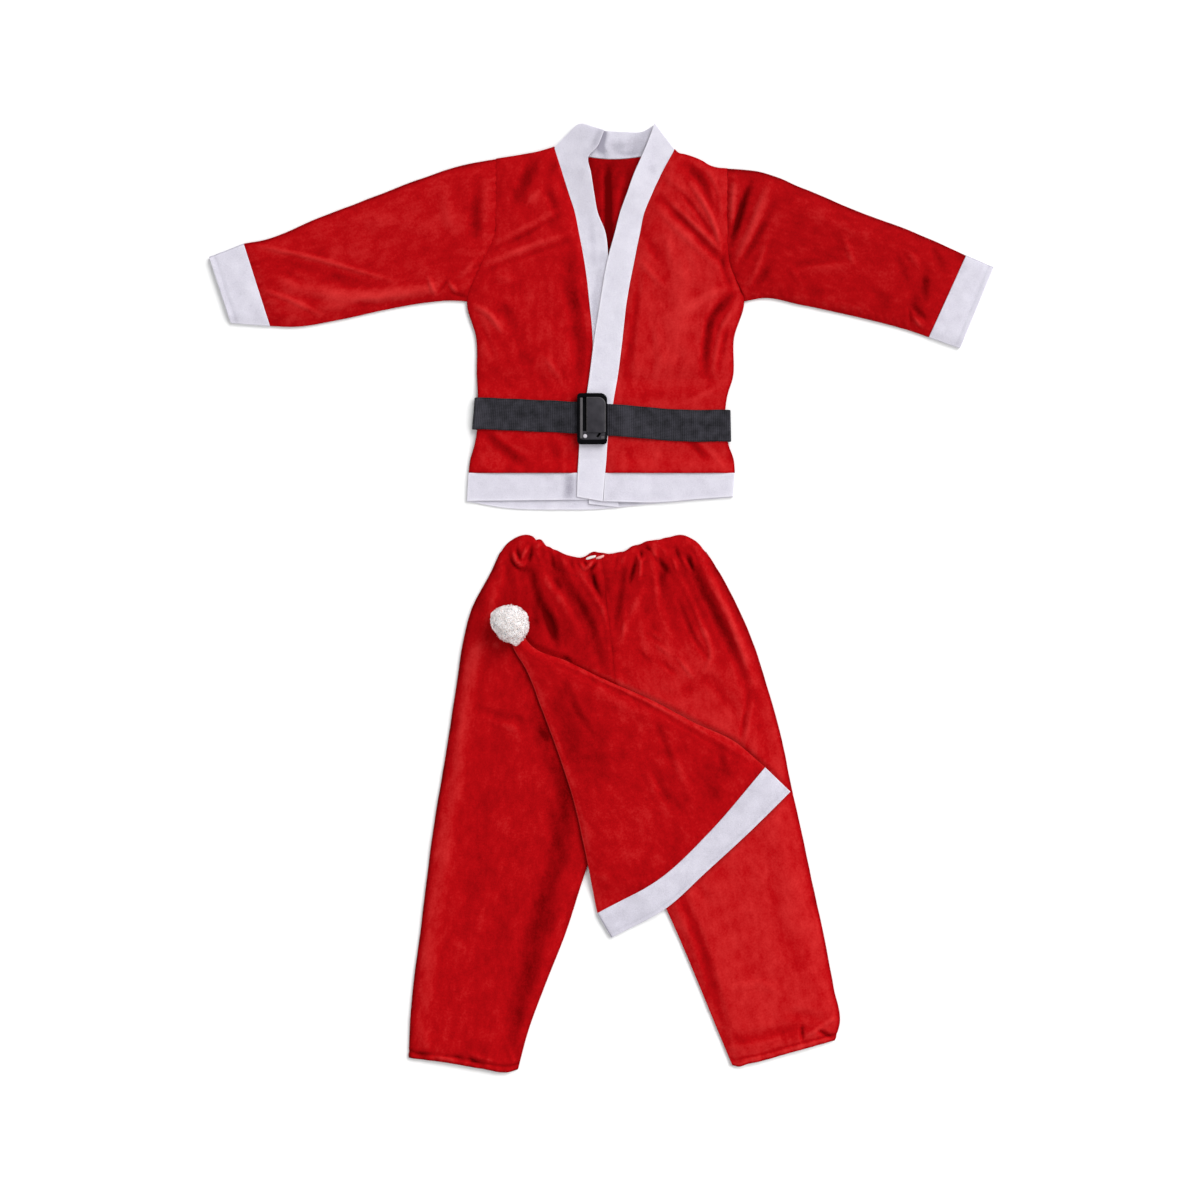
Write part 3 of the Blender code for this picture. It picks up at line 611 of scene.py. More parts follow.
jacket = {
    "columns": ["y", "rightEdge", "rightSeam", "rightFree", "leftFree", "leftSeam", "leftEdge"],
    "levels": [
        (510, -125, -46, -12, 41, 74, 152),
        (485, -125, -38, -8, 32, 62, 152),
        (463, -125, -31, -4, 24, 53, 152),
        (440, -126, -26.5, 5, 18, 48, 152),
        (400, -143, -19, 10, 7.5, 40, 155),
        (356, -160, -13.5, 20, 0, 31.5, 172),
        (312, -149, -9.5, 24, -7, 26.5, 160),
        (262, -148, -10, 24, -13.5, 20, 158),
        (245, -147, -11, 24, -16, 17, 152.5),
        (183, -151, -13, 23, -25, 8, 153.5),
        (166, -156, -13.5, 22, -26, 7, 159.5),
        (150, -158, -14, 21, -27, 5.5, 161),
    ],
    "armpit": 5,  # the level that the underarm seam starts from
    "shoulderRight": [(-125, 526.8), (-105, 529.8), (-90, 532.4), (-75, 535.2), (-65, 538), (-56, 541)],
    "shoulderLeft": [
        (89, 538),
        (93.5, 533.8),
        (101, 532),
        (109, 529.6),
        (116, 527),
        (123, 523.6),
        (130, 519.2),
        (138, 516.4),
        (152, 515),
    ],
    "neckSeam": [(-56, 541), (-16, 529), (14, 526), (49, 529), (89, 538)],
    "beltUp": (166, 183, 245, 262),  # where the cloth climbs on and off the belt's back run
    "beltRise": 1.9,
    "lapRise": 1.9,
    "lapX": (62, 32),
    "lapY": (450, 415),
    "clearOfBelt": ((248, 284), (179, 152)),  # where creases come back above and below it
    "uneven": (0.16, 34),  # height and length of the cloth's aimless waves
    "crown": 0.5,
    "crownReach": 60,
    "puff": 3.2,  # how far the fronts billow off the back
    "puffReach": (34, 18, 30),  # how soon, from the side, the front edge and the shoulder
    "backRoom": 0.45,  # as far as the back's own troughs may rise under them
    "insideShade": 1.8,  # painted shade on the back's inner face, deep in the open neck, as mm of trough
    # creases fade out nearer each edge than this
    "wholeFrom": {"toSeam": 5, "fromFold": 8, "toEnd": 6, "fromTop": 12},
    "covered": 17,  # how much of the right front lies flat under the left one
    "coveredY": (400, 330),
    "step": 2.2,
    "armY": (352, 392),  # from the armpit to where the armhole is at its fullest
    "sleeveRise": 0.9,  # from the side seam up to the sleeve's top layer
    "armReach": 30,
    "armholePuff": 1.4,  # how full front and sleeve stand where they meet
    "armholeReach": (34, 28),  # from the side and from the shoulder
    "seamDip": 0.12,
}
jacketLevels = np.array(jacket["levels"], float)


def levelRows(start, end):
    first = jacketLevels[:, jacket["columns"].index(start)]
    last = jacketLevels[:, jacket["columns"].index(end)]
    return [[(a, y), (b, y)] for a, b, y in zip(first, last, jacketLevels[:, 0])]


def beltRise(y):
    low, on, off, high = jacket["beltUp"]
    return jacket["beltRise"] * np.minimum(ramp(y, low, on), ramp(y, high, off))


def clearOfBelt(y):
    above, below = jacket["clearOfBelt"]
    return np.maximum(ease(y, *above), ease(y, *below))


def lapRise(x, y):
    return jacket["lapRise"] * ramp(x, *jacket["lapX"]) * ramp(y, *jacket["lapY"])


# every crease's width, its rise and the points it runs through
frontRightCreases = [
    (12, -1.5, [(-76, 532), (-88, 505), (-102, 475)]),
    (9, -1.0, [(-66, 492), (-58, 476), (-50, 458)]),
    (6, 1.0, [(-90, 468), (-80, 480), (-68, 491)]),
    (6, 1.1, [(-142, 398), (-90, 419), (-32, 438)]),
    (5, -0.6, [(-140, 390), (-88, 410), (-30, 429)]),
    (6, 0.9, [(-128, 425), (-90, 444), (-50, 466)]),
    (5, -0.8, [(-131, 416), (-92, 434), (-52, 456)]),
    (6, 1.5, [(-152, 350), (-136, 342), (-118, 320)]),
    (11, -0.8, [(-120, 350), (-106, 332)]),
    (6, -0.5, [(-147, 336), (-134, 304), (-126, 282)]),
    (6, 0.7, [(-151, 322), (-142, 288)]),
    (14, -0.4, [(-112, 345), (-96, 305), (-81, 262)]),
    (8, 0.6, [(-126, 384), (-100, 380)]),
    (16, -1.3, [(-42, 430), (-34, 375), (-27, 325), (-23, 285), (-20, 250)]),
    (4, 0.8, [(-27, 372), (-17, 330), (-14, 296)]),
    (6, 1.0, [(-66, 290), (-52, 268), (-40, 248)]),
    (8, -0.5, [(-144, 266), (-128, 252)]),
    (11.5, -1.9, [(-142, 202), (-116, 181), (-90, 159)]),
    (6, 1.1, [(-128, 199), (-103, 181), (-82, 170)]),
    (9, -0.9, [(-60, 190), (-50, 165)]),
    (7, -0.8, [(-118, 262), (-96, 246)]),
    (7, -0.7, [(-76, 270), (-58, 246)]),
    (6, 0.8, [(-148, 182), (-138, 158)]),
    (16, 0.6, [(-139, 334), (-140, 276)]),
    (18, 0.4, [(-58, 300), (-60, 262)]),
    (14, -1.1, [(-54, 528), (-60, 500)]),
    (8, -0.7, [(-47, 508), (-42, 482)]),
]
frontLeftCreases = [
    (8, -1.45, [(70, 481), (108, 442), (148, 401)]),
    (5, 1.2, [(80, 477), (112, 447), (146, 413)]),
    (6, 0.7, [(62, 472), (96, 438), (140, 396)]),
    (5, 1.4, [(108, 496), (128, 466), (147, 414)]),
    (8.5, -1.25, [(104, 522), (121, 498), (137, 460)]),
    (5, -1.0, [(96, 486), (112, 466), (134, 434)]),
    (5, 0.7, [(122, 522), (136, 500), (148, 458)]),
    (9, 0.7, [(74, 510), (88, 498), (106, 482)]),
    (6, 0.8, [(47, 405), (58, 392), (75, 373)]),
    (9, -0.8, [(56, 430), (66, 415), (70, 400)]),
    (9, 1.2, [(158, 371), (130, 363), (98, 339)]),
    (8.5, -2.3, [(160, 364), (134, 338), (127, 305), (124, 268)]),
    (5.5, 1.5, [(163, 350), (146, 324), (139, 296), (136, 268)]),
    (4, -0.7, [(150, 318), (146, 290)]),
    (6, 1.1, [(99, 233), (122, 243), (148, 259)]),
    (9, -1.0, [(45, 392), (38, 330), (34, 285), (30, 244)]),
    (3.5, 0.6, [(34, 372), (27, 310), (23, 262)]),
    (8, -1.8, [(96, 196), (112, 184), (128, 168)]),
    (6, 1.1, [(122, 186), (136, 172), (146, 160)]),
    (8, 0.9, [(60, 186), (72, 165)]),
    (8, -0.7, [(30, 188), (40, 162)]),
    (10, 0.7, [(78, 300), (64, 262)]),
    (9, -0.4, [(96, 300), (88, 262)]),
    (10, 0.7, [(76, 440), (84, 414), (86, 392)]),
    (9, -0.4, [(98, 420), (106, 396), (108, 372)]),
    (24, 0.8, [(101, 440), (97, 380), (95, 330), (92, 270)]),
    (13, -0.8, [(149, 396), (144, 340), (140, 290), (136, 252)]),
    (14, -0.6, [(24, 246), (80, 244), (140, 246)]),
    (14, -1.0, [(94, 524), (114, 508), (134, 496)]),
    (8, 0.8, [(72, 508), (67, 484)]),
    (8, -1.3, [(148, 420), (150, 392), (154, 374)]),
    (10, -0.8, [(128, 272), (136, 250)]),
    (10, 0.7, [(66, 330), (70, 296)]),
    (8, -0.6, [(139, 498), (141, 472)]),
    (7, 0.6, [(42, 392), (37, 348), (33, 310)]),
]
backCreases = [
    (8, -2.4, [(9.5, 533), (9, 490), (10, 430), (11, 400)]),
    (6, 0.9, [(1, 524), (2, 490), (4, 450)]),
    (8, 0.9, [(30, 524), (22, 490), (17, 455)]),
]
backUnderCreases = [
    (10, -1.4, [(-112, 474), (-98, 432), (-92, 388)]),
    (8, 0.9, [(-90, 500), (-78, 462), (-74, 430)]),
    (10, -1.3, [(122, 484), (112, 440), (118, 394)]),
    (9, -1.3, [(-152, 362), (-112, 352), (-68, 357)]),
    (7, 0.8, [(-146, 346), (-110, 338), (-72, 342)]),
    (9, -1.4, [(162, 368), (118, 352), (74, 354)]),
    (7, 0.9, [(158, 350), (124, 336), (92, 336)]),
    (9, 0.9, [(-134, 338), (-102, 302), (-86, 270)]),
    (9, -1.1, [(140, 334), (112, 304), (98, 270)]),
    (12, -1.2, [(-42, 380), (-36, 330), (-46, 278)]),
    (12, 0.9, [(56, 374), (50, 322), (62, 272)]),
    (10, -0.9, [(2, 364), (8, 322), (0, 276)]),
]


def armholeLine(shoulder, edge):
    levels = jacketLevels[: jacket["armpit"] + 2]
    knots = [shoulder, *zip(levels[:, jacket["columns"].index(edge)], levels[:, 0])]
    line = smoothRows([[knot] for knot in knots], 1.5)[:, 0]
    return line[line[:, 1] > jacketLevels[jacket["armpit"], 0] - 0.2]


def makeFront(side, shoulder, creases, material, seed):
    flat = loftGrid([shoulder, *levelRows(side + "Edge", side + "Seam")], step=jacket["step"])
    g = gridFacts(flat)
    x, y = g["x"], g["y"]
    clear = clearOfBelt(y)
    crease = creaseField(x, y, creases) * insideOf(g, **jacket["wholeFrom"])
    relief = (crease + uneven(g, jacket["uneven"], seed)) * clear
    crown = jacket["crown"] * pillow(g["fromFold"], jacket["crownReach"])
    covered = jacket["covered"] * ramp(y, *jacket["coveredY"]) if side == "right" else 0
    fromSide, fromFront, fromShoulder = jacket["puffReach"]
    edge = pillow(np.maximum(g["toSeam"] - covered, 0), fromFront)
    edge = np.minimum(pillow(g["fromFold"], fromSide), edge)
    puff = jacket["puff"] * edge * clear * pillow(g["fromTop"], fromShoulder)
    armpit, full = jacket["armY"]
    arm = jacket["sleeveRise"] * ease(y, armpit, full)
    arm *= 1 - ease(g["fromFold"], 0, jacket["armReach"]) * 0.4
    fromSide, fromShoulder = jacket["armholeReach"]
    fullness = jacket["armholePuff"] * ease(y, armpit, full + 8) * pillow(g["fromTop"], fromShoulder)
    arm += fullness * (1 - ease(g["fromFold"], 0, fromSide))
    z = suit["sideSeamZ"] + crown + puff + arm + beltRise(y)
    z += np.maximum(relief, -(puff + 0.1))
    z -= jacket["seamDip"] * fading(g["fromFold"], 2.2) * ease(y, armpit, full)
    if side == "left":
        z += lapRise(x, y)
    # the creases are painted as light and shade also where the belt flattens them, and painted shade darkens
    # the hem, the shoulder and the side edge
    reliefShade = relief + crease * (1 - clear) * 0.8
    reliefShade = reliefShade + 0.7 * paintedEdgeShade(g["toEnd"], 1.5) + 0.6 * paintedEdgeShade(g["fromTop"])
    reliefShade += paintedEdgeShade(g["fromFold"]) * (1 - 0.55 * ease(y, armpit, armpit + 20) - 0.3 * ease(y, 400, 450))
    name = "jacketFront" + side.capitalize()
    piece = clothWall(name, np.dstack([flat, z]), suit["velour"], material, reliefShade)
    return place(piece, "red_velour", "jacket_front_" + side)


shouldersRow = [*jacket["shoulderRight"][:-1], *jacket["neckSeam"], *jacket["shoulderLeft"][1:]]
flat = loftGrid([shouldersRow, *levelRows("rightEdge", "leftEdge")])
g = gridFacts(flat)
fade = insideOf(g, fromTop=20, toEnd=20)
relief = creaseField(g["x"], g["y"], backCreases) * fade
hidden = creaseField(g["x"], g["y"], backUnderCreases) * fade
fromSide = ramp(np.minimum(g["fromFold"], g["toSeam"]), 5, 50)
z = suit["backZ"] + beltRise(g["y"]) + np.maximum(relief, 0)
z += np.clip(-hidden, 0, jacket["backRoom"]) * fromSide
# the back's inner face, seen in the open neck, is painted in shade
inside = relief - jacket["insideShade"]
jacketBack = clothWall("jacketBack", np.dstack([flat, z]), suit["velour"], backVelour, inside, hidden)
place(jacketBack, "red_velour", "jacket_back")
frontRight = makeFront("right", jacket["shoulderRight"], frontRightCreases, frontRightVelour, 11)
frontLeft = makeFront("left", jacket["shoulderLeft"][::-1], frontLeftCreases, frontLeftVelour, 12)
print("jacket body made")


bands = {
    "rollRight": [
        [(-54, 535), (-15, 528)],
        [(-55, 538.5), (-42, 548), (-20, 549), (-4, 541)],
        [(-54.8, 541), (-41, 555), (-25, 568), (-8, 564), (4, 560)],
    ],
    "rollLeft": [
        [(85, 531), (49, 528)],
        [(87.5, 535.5), (57, 547)],
        [(88.2, 538.5), (65, 569)],
    ],
    "footRight": [(-14, 113), (21, 109)],
    "footLeft": [(2.5, 116), (-28, 121.5)],
    "neck": [
        [(-54, 541.5), (-27, 566)],
        [(-16, 530), (6, 560)],
        [(14, 527), (28, 559)],
        [(49, 530), (50, 559)],
        [(86.5, 539.5), (65.5, 567.5)],
    ],
    "hemBack": [(-160, 116), (-112, 108), (-52, 106), (1, 107), (49, 112), (159, 121)],
    "hemRight": [(-160, 116.5), (-15, 118)],
    "hemLeft": [(3.5, 116), (71, 115), (118, 119), (159, 122)],
    "step": 2.4,
    "rollLift": 5.0,
    "softness": 0.45,  # how far a band's middle swells past its sewn edges
    "edgeLight": 1.6,  # painted highlight on the felt's cut edges, as mm of ridge
    "neckY": (470, 520),  # where the painted edge highlight fades, towards the neck
    "pillow": 9,
    "uneven": (0.10, 26),
}


def rollLift(x, y):
    # the collar's rolled edge stands off the back, more towards the open neck
    inwards = 1 - ease(np.abs(x - 14 + (540 - y) * 0.06), 12, 62)
    return bands["rollLift"] * ease(y, 452, 505) * inwards


def bandZ(x, y, lies):
    # on the back, on a front, or up the front edge and round the neck, where the left one is over the right
    z = suit["backFeltZ" if lies == "back" else "frontFeltZ"] + 0 * x
    if lies in ("edge", "lap"):
        z += beltRise(y) + rollLift(x, y)
    return z + lapRise(x, y) if lies == "lap" else z


def makeBand(name, node, rows, lies, seed, swell=1.0, lighter=0.0, shadows=()):
    flat = loftGrid(rows, step=bands["step"])
    g = gridFacts(flat)
    x, y = g["x"], g["y"]
    toSide = np.minimum(g["fromFold"], g["toSeam"])
    edge = pillow(toSide, bands["pillow"])
    relief = uneven(g, bands["uneven"], seed)
    z = bandZ(x, y, lies) + swell * bands["softness"] * edge + relief * edge
    toEdge = np.minimum(toSide, np.minimum(g["fromTop"], g["toEnd"]))
    # painted light and shade: a highlight along the cut edges, the shadows beside the bands over it, and
    # lighter all over where asked
    light = bands["edgeLight"] * fading(toEdge, 1.5) * (1 - 0.8 * ease(y, *bands["neckY"]))
    shaded = relief + lighter + creaseField(x, y, shadows) + light
    piece = clothWall(name, np.dstack([flat, z]), suit["felt"], whiteFelt, shaded, relief)
    return place(piece, "white_felt", node)


def frontBandRows(side, by):
    roll, foot = bands["roll" + side.capitalize()], bands["foot" + side.capitalize()]
    rows = [*roll[::-1], *levelRows(side + "Seam", side + "Free"), foot]
    return [[(x + by, y) for x, y in row] for row in rows]


def hemRows(start, end, foot):
    y = jacketLevels[-1, 0] - suit["seamGap"]
    return [[(start, y), (end, y)], foot]


hem = dict(zip(jacket["columns"], jacketLevels[-1]))
gap = suit["seamGap"]
bandPieces = {
    "frontBandRight": {
        "node": "front_band_right",
        "rows": frontBandRows("right", gap),
        "lies": "edge",
        "seed": 21,
        "swell": 0.0,
        "shadows": [
            (3.2, 1.3, [(12, 412), (4, 380), (-3, 335), (-9, 300), (-15, 262)]),
            (8, -1.0, [(4, 412), (-2, 380), (-9, 335), (-14, 300), (-20, 262)]),
            (7, -1.4, [(2, 564), (-3, 551), (-8, 541), (-12, 533)]),
            (7, -0.7, [(-13, 462), (-9, 425), (-7, 392)]),
        ],
    },
    "frontBandLeft": {
        "node": "front_band_left",
        "rows": frontBandRows("left", -gap),
        "lies": "lap",
        "seed": 22,
        "swell": 0.3,
        "lighter": 0.5,
        "shadows": [(9, -0.8, [(60, 520), (64, 505)])],
    },
    "neckBand": {
        "node": "neck_band",
        "rows": bands["neck"],
        "lies": "back",
        "seed": 23,
        "shadows": [
            (8, -4.6, [(5, 563), (1.5, 551), (0, 541), (5, 532)]),
            (12, -1.0, [(-16, 560), (-12, 545), (-8, 532)]),
            (18, -1.3, [(61, 568), (51, 553), (44, 540), (38, 526)]),
            (5, -0.8, [(20, 534), (34, 533), (48, 536)]),
            (13, -1.4, [(12, 541), (30, 540)]),
        ],
    },
    "hemBandBack": {
        "node": "hem_band_back",
        "rows": hemRows(hem["rightEdge"], hem["leftEdge"], bands["hemBack"]),
        "lies": "back",
        "seed": 24,
        "swell": 0.4,
    },
    "hemBandRight": {
        "node": "hem_band_right",
        "rows": hemRows(hem["rightEdge"], hem["rightSeam"] - gap, bands["hemRight"]),
        "lies": "front",
        "seed": 25,
        "shadows": [(11, -1.9, [(-38, 152), (-37, 135), (-38, 114)])],
    },
    "hemBandLeft": {
        "node": "hem_band_left",
        "rows": hemRows(hem["leftSeam"] + gap, hem["leftEdge"], bands["hemLeft"]),
        "lies": "lap",
        "seed": 26,
    },
}
band = {name: makeBand(name, **row) for name, row in bandPieces.items()}
print("felt bands made")


sleeves = {
    "right": {
        "rows": [
            [(-165, 519), (-180, 357)],
            [(-215, 503), (-213, 354)],
            [(-275, 480), (-258, 346)],
            [(-340, 455), (-313, 334)],
            [(-405, 429), (-369, 325.5)],
            [(-428, 425), (-396.5, 326.5)],
        ],
        "cuff": [(-469, 409), (-443, 330)],
        "creases": [
            (5, 1.5, [(-418, 424), (-335, 405), (-250, 380)], "sharp"),
            (13, -0.6, [(-408, 410), (-340, 391), (-262, 368)]),
            (12, 1.5, [(-382, 376), (-316, 363), (-255, 364), (-194, 374)]),
            (5, 1.0, [(-408, 369), (-376, 359), (-335, 339)]),
            (10, 0.7, [(-404, 360), (-370, 352), (-330, 350), (-280, 357), (-215, 367), (-168, 374)]),
            (9, -0.6, [(-384, 392), (-358, 380)]),
            (7, -0.6, [(-300, 352), (-262, 353)]),
            (16, 0.6, [(-298, 452), (-240, 452), (-196, 440)]),
            (4.5, 1.3, [(-206, 384), (-198, 363)]),
            (4, -1.2, [(-194, 367), (-183, 381)]),
            (4, 1.4, [(-182, 379), (-171, 364)]),
            (4, -1.5, [(-178, 366), (-161, 361)]),
            (6, 1.2, [(-167, 386), (-149, 405)]),
            (11, -1.4, [(-148, 498), (-150, 460), (-151, 428)]),
            (7, 0.3, [(-137, 506), (-137, 430)]),
            (12, 0.6, [(-186, 486), (-178, 440)]),
        ],
        "underCreases": [
            (10, -1.5, [(-178, 484), (-196, 440), (-190, 392)]),
            (8, 1.0, [(-208, 488), (-222, 450), (-214, 410)]),
            (9, -1.4, [(-172, 370), (-214, 390), (-262, 396)]),
            (7, 0.9, [(-184, 366), (-230, 377), (-286, 376)]),
            (12, -1.3, [(-268, 448), (-316, 424), (-374, 410)]),
            (8, -1.0, [(-326, 370), (-362, 366), (-396, 350)]),
            (7, 0.9, [(-398, 410), (-405, 386), (-398, 360)]),
        ],
        "shoulder": "shoulderRight",
        "edge": "rightEdge",
    },
    "left": {
        "rows": [
            [(187, 512), (196, 360)],
            [(244, 491), (240, 352)],
            [(308, 464), (292, 341)],
            [(375, 439), (346, 328)],
            [(405, 426), (371, 321)],
            [(438.5, 411), (394, 313)],
        ],
        "cuff": [(471, 397), (431, 300)],
        "creases": [
            (7, -3.2, [(179, 497), (170, 471), (163, 447), (156, 425)]),
            (6.5, 1.8, [(161, 505), (158, 470), (156, 440)]),
            (8.5, 2.0, [(203, 497), (189, 462), (175, 428), (160, 398)]),
            (7, -1.2, [(207, 472), (186, 430), (165, 397)]),
            (5, 1.1, [(201, 432), (190, 402), (178, 374)]),
            (8, -1.1, [(205, 402), (186, 373)]),
            (3.5, 1.4, [(167, 371), (173, 361)]),
            (8, -0.6, [(228, 399), (258, 402), (290, 405)]),
            (10, 0.7, [(240, 391), (276, 396), (312, 396)]),
            (6, 0.9, [(290, 435), (304, 399)]),
            (6, 0.7, [(224, 401), (242, 375)]),
            (14, 0.6, [(250, 462), (300, 440), (350, 424)]),
            (9, -0.6, [(322, 372), (350, 352)]),
            (7, -0.6, [(354, 411), (369, 375)]),
            (7, 0.9, [(368, 417), (382, 395)]),
            (7, -1.3, [(389, 389), (388, 354)]),
            (6.5, -1.3, [(370, 352), (392, 332)]),
            (3.5, 1.5, [(376, 335), (385, 325)]),
            (3.5, -1.2, [(370, 347), (372, 329)]),
            (10, 0.55, [(170, 366), (230, 360), (300, 347), (360, 332)]),
            (9, -0.9, [(398, 422), (408, 396)]),
            (9, -0.5, [(250, 413), (284, 409)]),
            (10, -0.8, [(372, 366), (382, 344)]),
        ],
        "underCreases": [
            (10, -1.6, [(182, 488), (196, 446), (188, 400)]),
            (8, 1.0, [(212, 482), (218, 444), (206, 404)]),
            (9, -1.3, [(180, 376), (222, 388), (272, 380)]),
            (12, -1.2, [(250, 442), (296, 424), (352, 396)]),
            (7, 0.9, [(236, 410), (284, 402), (332, 386)]),
            (8, -1.1, [(366, 406), (380, 372), (374, 338)]),
        ],
        "shoulder": "shoulderLeft",
        "edge": "leftEdge",
    },
    "puff": 3.4,
    "uneven": (0.17, 38),
    "hiddenUneven": (0.25, 40),
    "shoulderPuckers": (0.35, 11, 7),  # height, length and reach
    "seamPuckers": (0.3, 12, 9),
    "closes": 15,  # how near the seam the two layers begin to meet
    "wholeFrom": {"toEnd": 7, "toSeam": 4, "fromFold": 5, "fromTop": 3},
    "step": 2.3,
    "cuffPuff": 0.8,
    "cuffUneven": (0.12, 24),
    "cuffStitch": 6,  # from the stitched groove to the cuff's edge
}


def hiddenRelief(g, creases, seed):
    # the creases of a side that lies face down, gone at its edges
    edges = ramp(g["fromFold"], 2, 12) * insideOf(g, toSeam=8, toEnd=10, fromTop=8)
    return (creaseField(g["x"], g["y"], creases) + uneven(g, sleeves["hiddenUneven"], seed)) * edges


def foldedLayers(g, under, wall, puff, relief, closes, closeShare=1.0, crown=28, hidden=0):
    # heights of the two layers of a folded piece: they touch along the seam and billow between;
    # the troughs hidden on the lower one rise only as far as the upper one leaves room
    low = under + wall / 2
    closing = (1 - ease(g["toSeam"], 0, closes)) * closeShare
    swell = np.minimum(pillow(g["fromFold"], crown), pillow(g["toSeam"], crown) + (1 - closeShare))
    apart = wall + suit["air"] + puff * np.clip(swell, 0, 1) - (suit["air"] - suit["seamGap"]) * closing
    apart = np.maximum(apart + relief, wall + suit["seamGap"])
    return low + np.clip(-hidden, 0, np.maximum(apart - wall - suit["hiddenRoom"], 0)), low + apart


def makeSleeve(side, material, seed):
    part = sleeves[side]
    armhole = armholeLine(jacket[part["shoulder"]][0 if side == "right" else -1], part["edge"])
    first = movedOff(armhole, part["rows"][0], suit["seamGap"])
    flat = loftGrid([first, *part["rows"]], suit["velour"] + suit["air"] / 2, sleeves["step"])
    g = gridFacts(flat)
    relief = creaseField(g["x"], g["y"], part["creases"]) * insideOf(g, **sleeves["wholeFrom"])
    relief += uneven(g, sleeves["uneven"], seed)
    shoulderPuckers = puckers(g["fromTop"], g["fromFold"], seed, *sleeves["shoulderPuckers"])
    relief += shoulderPuckers + puckers(g["toEnd"], g["fromFold"], seed + 1)
    seamPuckers = puckers(g["toSeam"], g["fromTop"], seed + 2, *sleeves["seamPuckers"])
    relief += seamPuckers * ramp(g["toSeam"], 0, 4)
    relief -= 0.15 * fading(g["fromTop"], 2.0) + 0.25 * fading(g["toEnd"], 2.2)
    full = jacket["armholePuff"] / sleeves["puff"]
    ends = np.minimum(full + (1 - full) * pillow(g["fromTop"], 26), pillow(g["toEnd"], 22))
    hidden = hiddenRelief(g, part["underCreases"], seed + 3)
    puff = sleeves["puff"] * ends
    low, high = foldedLayers(g, 0 * relief, suit["velour"], puff, relief, sleeves["closes"], hidden=hidden)
    # painted shade where the sleeve turns down at its fold, its seam and its armhole, on both faces
    reliefShade = relief + paintedEdgeShade(g["fromFold"]) + 0.4 * paintedEdgeShade(g["toSeam"])
    reliefShade += paintedEdgeShade(g["fromTop"]) * (0.5 - 0.35 * ease(g["y"], 400, 450))
    underReliefShade = hidden + 0.5 * paintedEdgeShade(g["fromTop"]) + 0.6 * paintedEdgeShade(g["toSeam"])
    sheet, lift = foldedOver(flat, low, high, reliefShade, underReliefShade)
    piece = clothWall("sleeve" + side.capitalize(), sheet, suit["velour"], material, lift)
    return place(piece, "red_velour", "sleeve_" + side)


def makeCuff(side, seed):
    part = sleeves[side]
    first = movedOff(spreadPoints(np.array(part["rows"][-1], float), 8), part["cuff"], suit["seamGap"])
    flat = loftGrid([first, part["cuff"]], suit["felt"] + suit["air"] / 2, bands["step"])
    g = gridFacts(flat)
    relief = uneven(g, sleeves["cuffUneven"], seed)
    relief += 0.25 * bell(g["toEnd"], 2, 2.4) - 0.7 * bell(g["toEnd"], sleeves["cuffStitch"], 1.6)
    puff = sleeves["cuffPuff"] * pillow(g["fromTop"], 10)
    low, high = foldedLayers(g, 0 * relief, suit["felt"], puff, relief, 10, crown=14)
    sheet, lift = foldedOver(flat, low, high, relief, relief)
    piece = clothWall("cuff" + side.capitalize(), sheet, suit["felt"], whiteFelt, lift)
    return place(piece, "white_felt", "cuff_" + side)


sleeveRight = makeSleeve("right", sleeveRightVelour, 31)
sleeveLeft = makeSleeve("left", sleeveLeftVelour, 41)
cuffRight = makeCuff("right", 51)
cuffLeft = makeCuff("left", 52)
print("sleeves made")


belt = {
    "width": 37.4,
    "overRight": [
        (-10.3, 215.5, 8.5),
        (-36, 216, 8.5),
        (-52, 217.2, 6.2),
        (-100, 219.6, 6.2),
        (-149, 221, 6.2),
    ],
    "underBack": [(-149, 221, 0.8), (-70, 217, 0.8), (0, 214, 0.8), (75, 210, 0.8), (152.8, 206.3, 0.8)],
    "overLeft": [
        (152.8, 206.3, 6.2),
        (110, 206.4, 6.2),
        (72, 208, 6.2),
        (44, 210.5, 8.5),
        (16, 213, 8.5),
        (-9.7, 214, 8.5),
    ],
    "slantRight": 1.5,
    "slantLeft": 0.4,
    "slantReach": (60, 140),
    "middleX": -9,
    "freeFrom": (24, 40),  # how far from there the strap begins to wave
    "wave": 0.8,  # how unevenly the webbing lies
    "sink": 0.15,  # and the most that it dips
    "drift": ((0.25, 17), (0.15, 6.1)),  # how far and in what waves it strays sideways
    "across": 17,
    "turns": 9,
    "step": 2.6,
}


def sideFold(start, end, way):
    radius = (end[2] - start[2]) / 2
    angle = math.pi * np.arange(1, belt["turns"] + 1) / (belt["turns"] + 1)
    x = start[0] + way * abs(radius) * np.sin(angle)
    return np.stack([x, 0 * x + start[1], start[2] + radius * (1 - np.cos(angle))], axis=1)


def evenRun(points):
    # points every so often along a run, with the climbs between its levels eased
    points = np.array(points, float)
    lengths = lengthsAlong(points)
    at = np.linspace(0, lengths[-1], round(lengths[-1] / belt["step"]) + 1)
    run = pointsAt(at, lengths, points)
    for a, b, start, end in zip(points, points[1:], lengths, lengths[1:]):
        climb = (at > start) & (at < end)
        run[climb, 2] = a[2] + (b[2] - a[2]) * ease(at[climb], start, end)
    return run


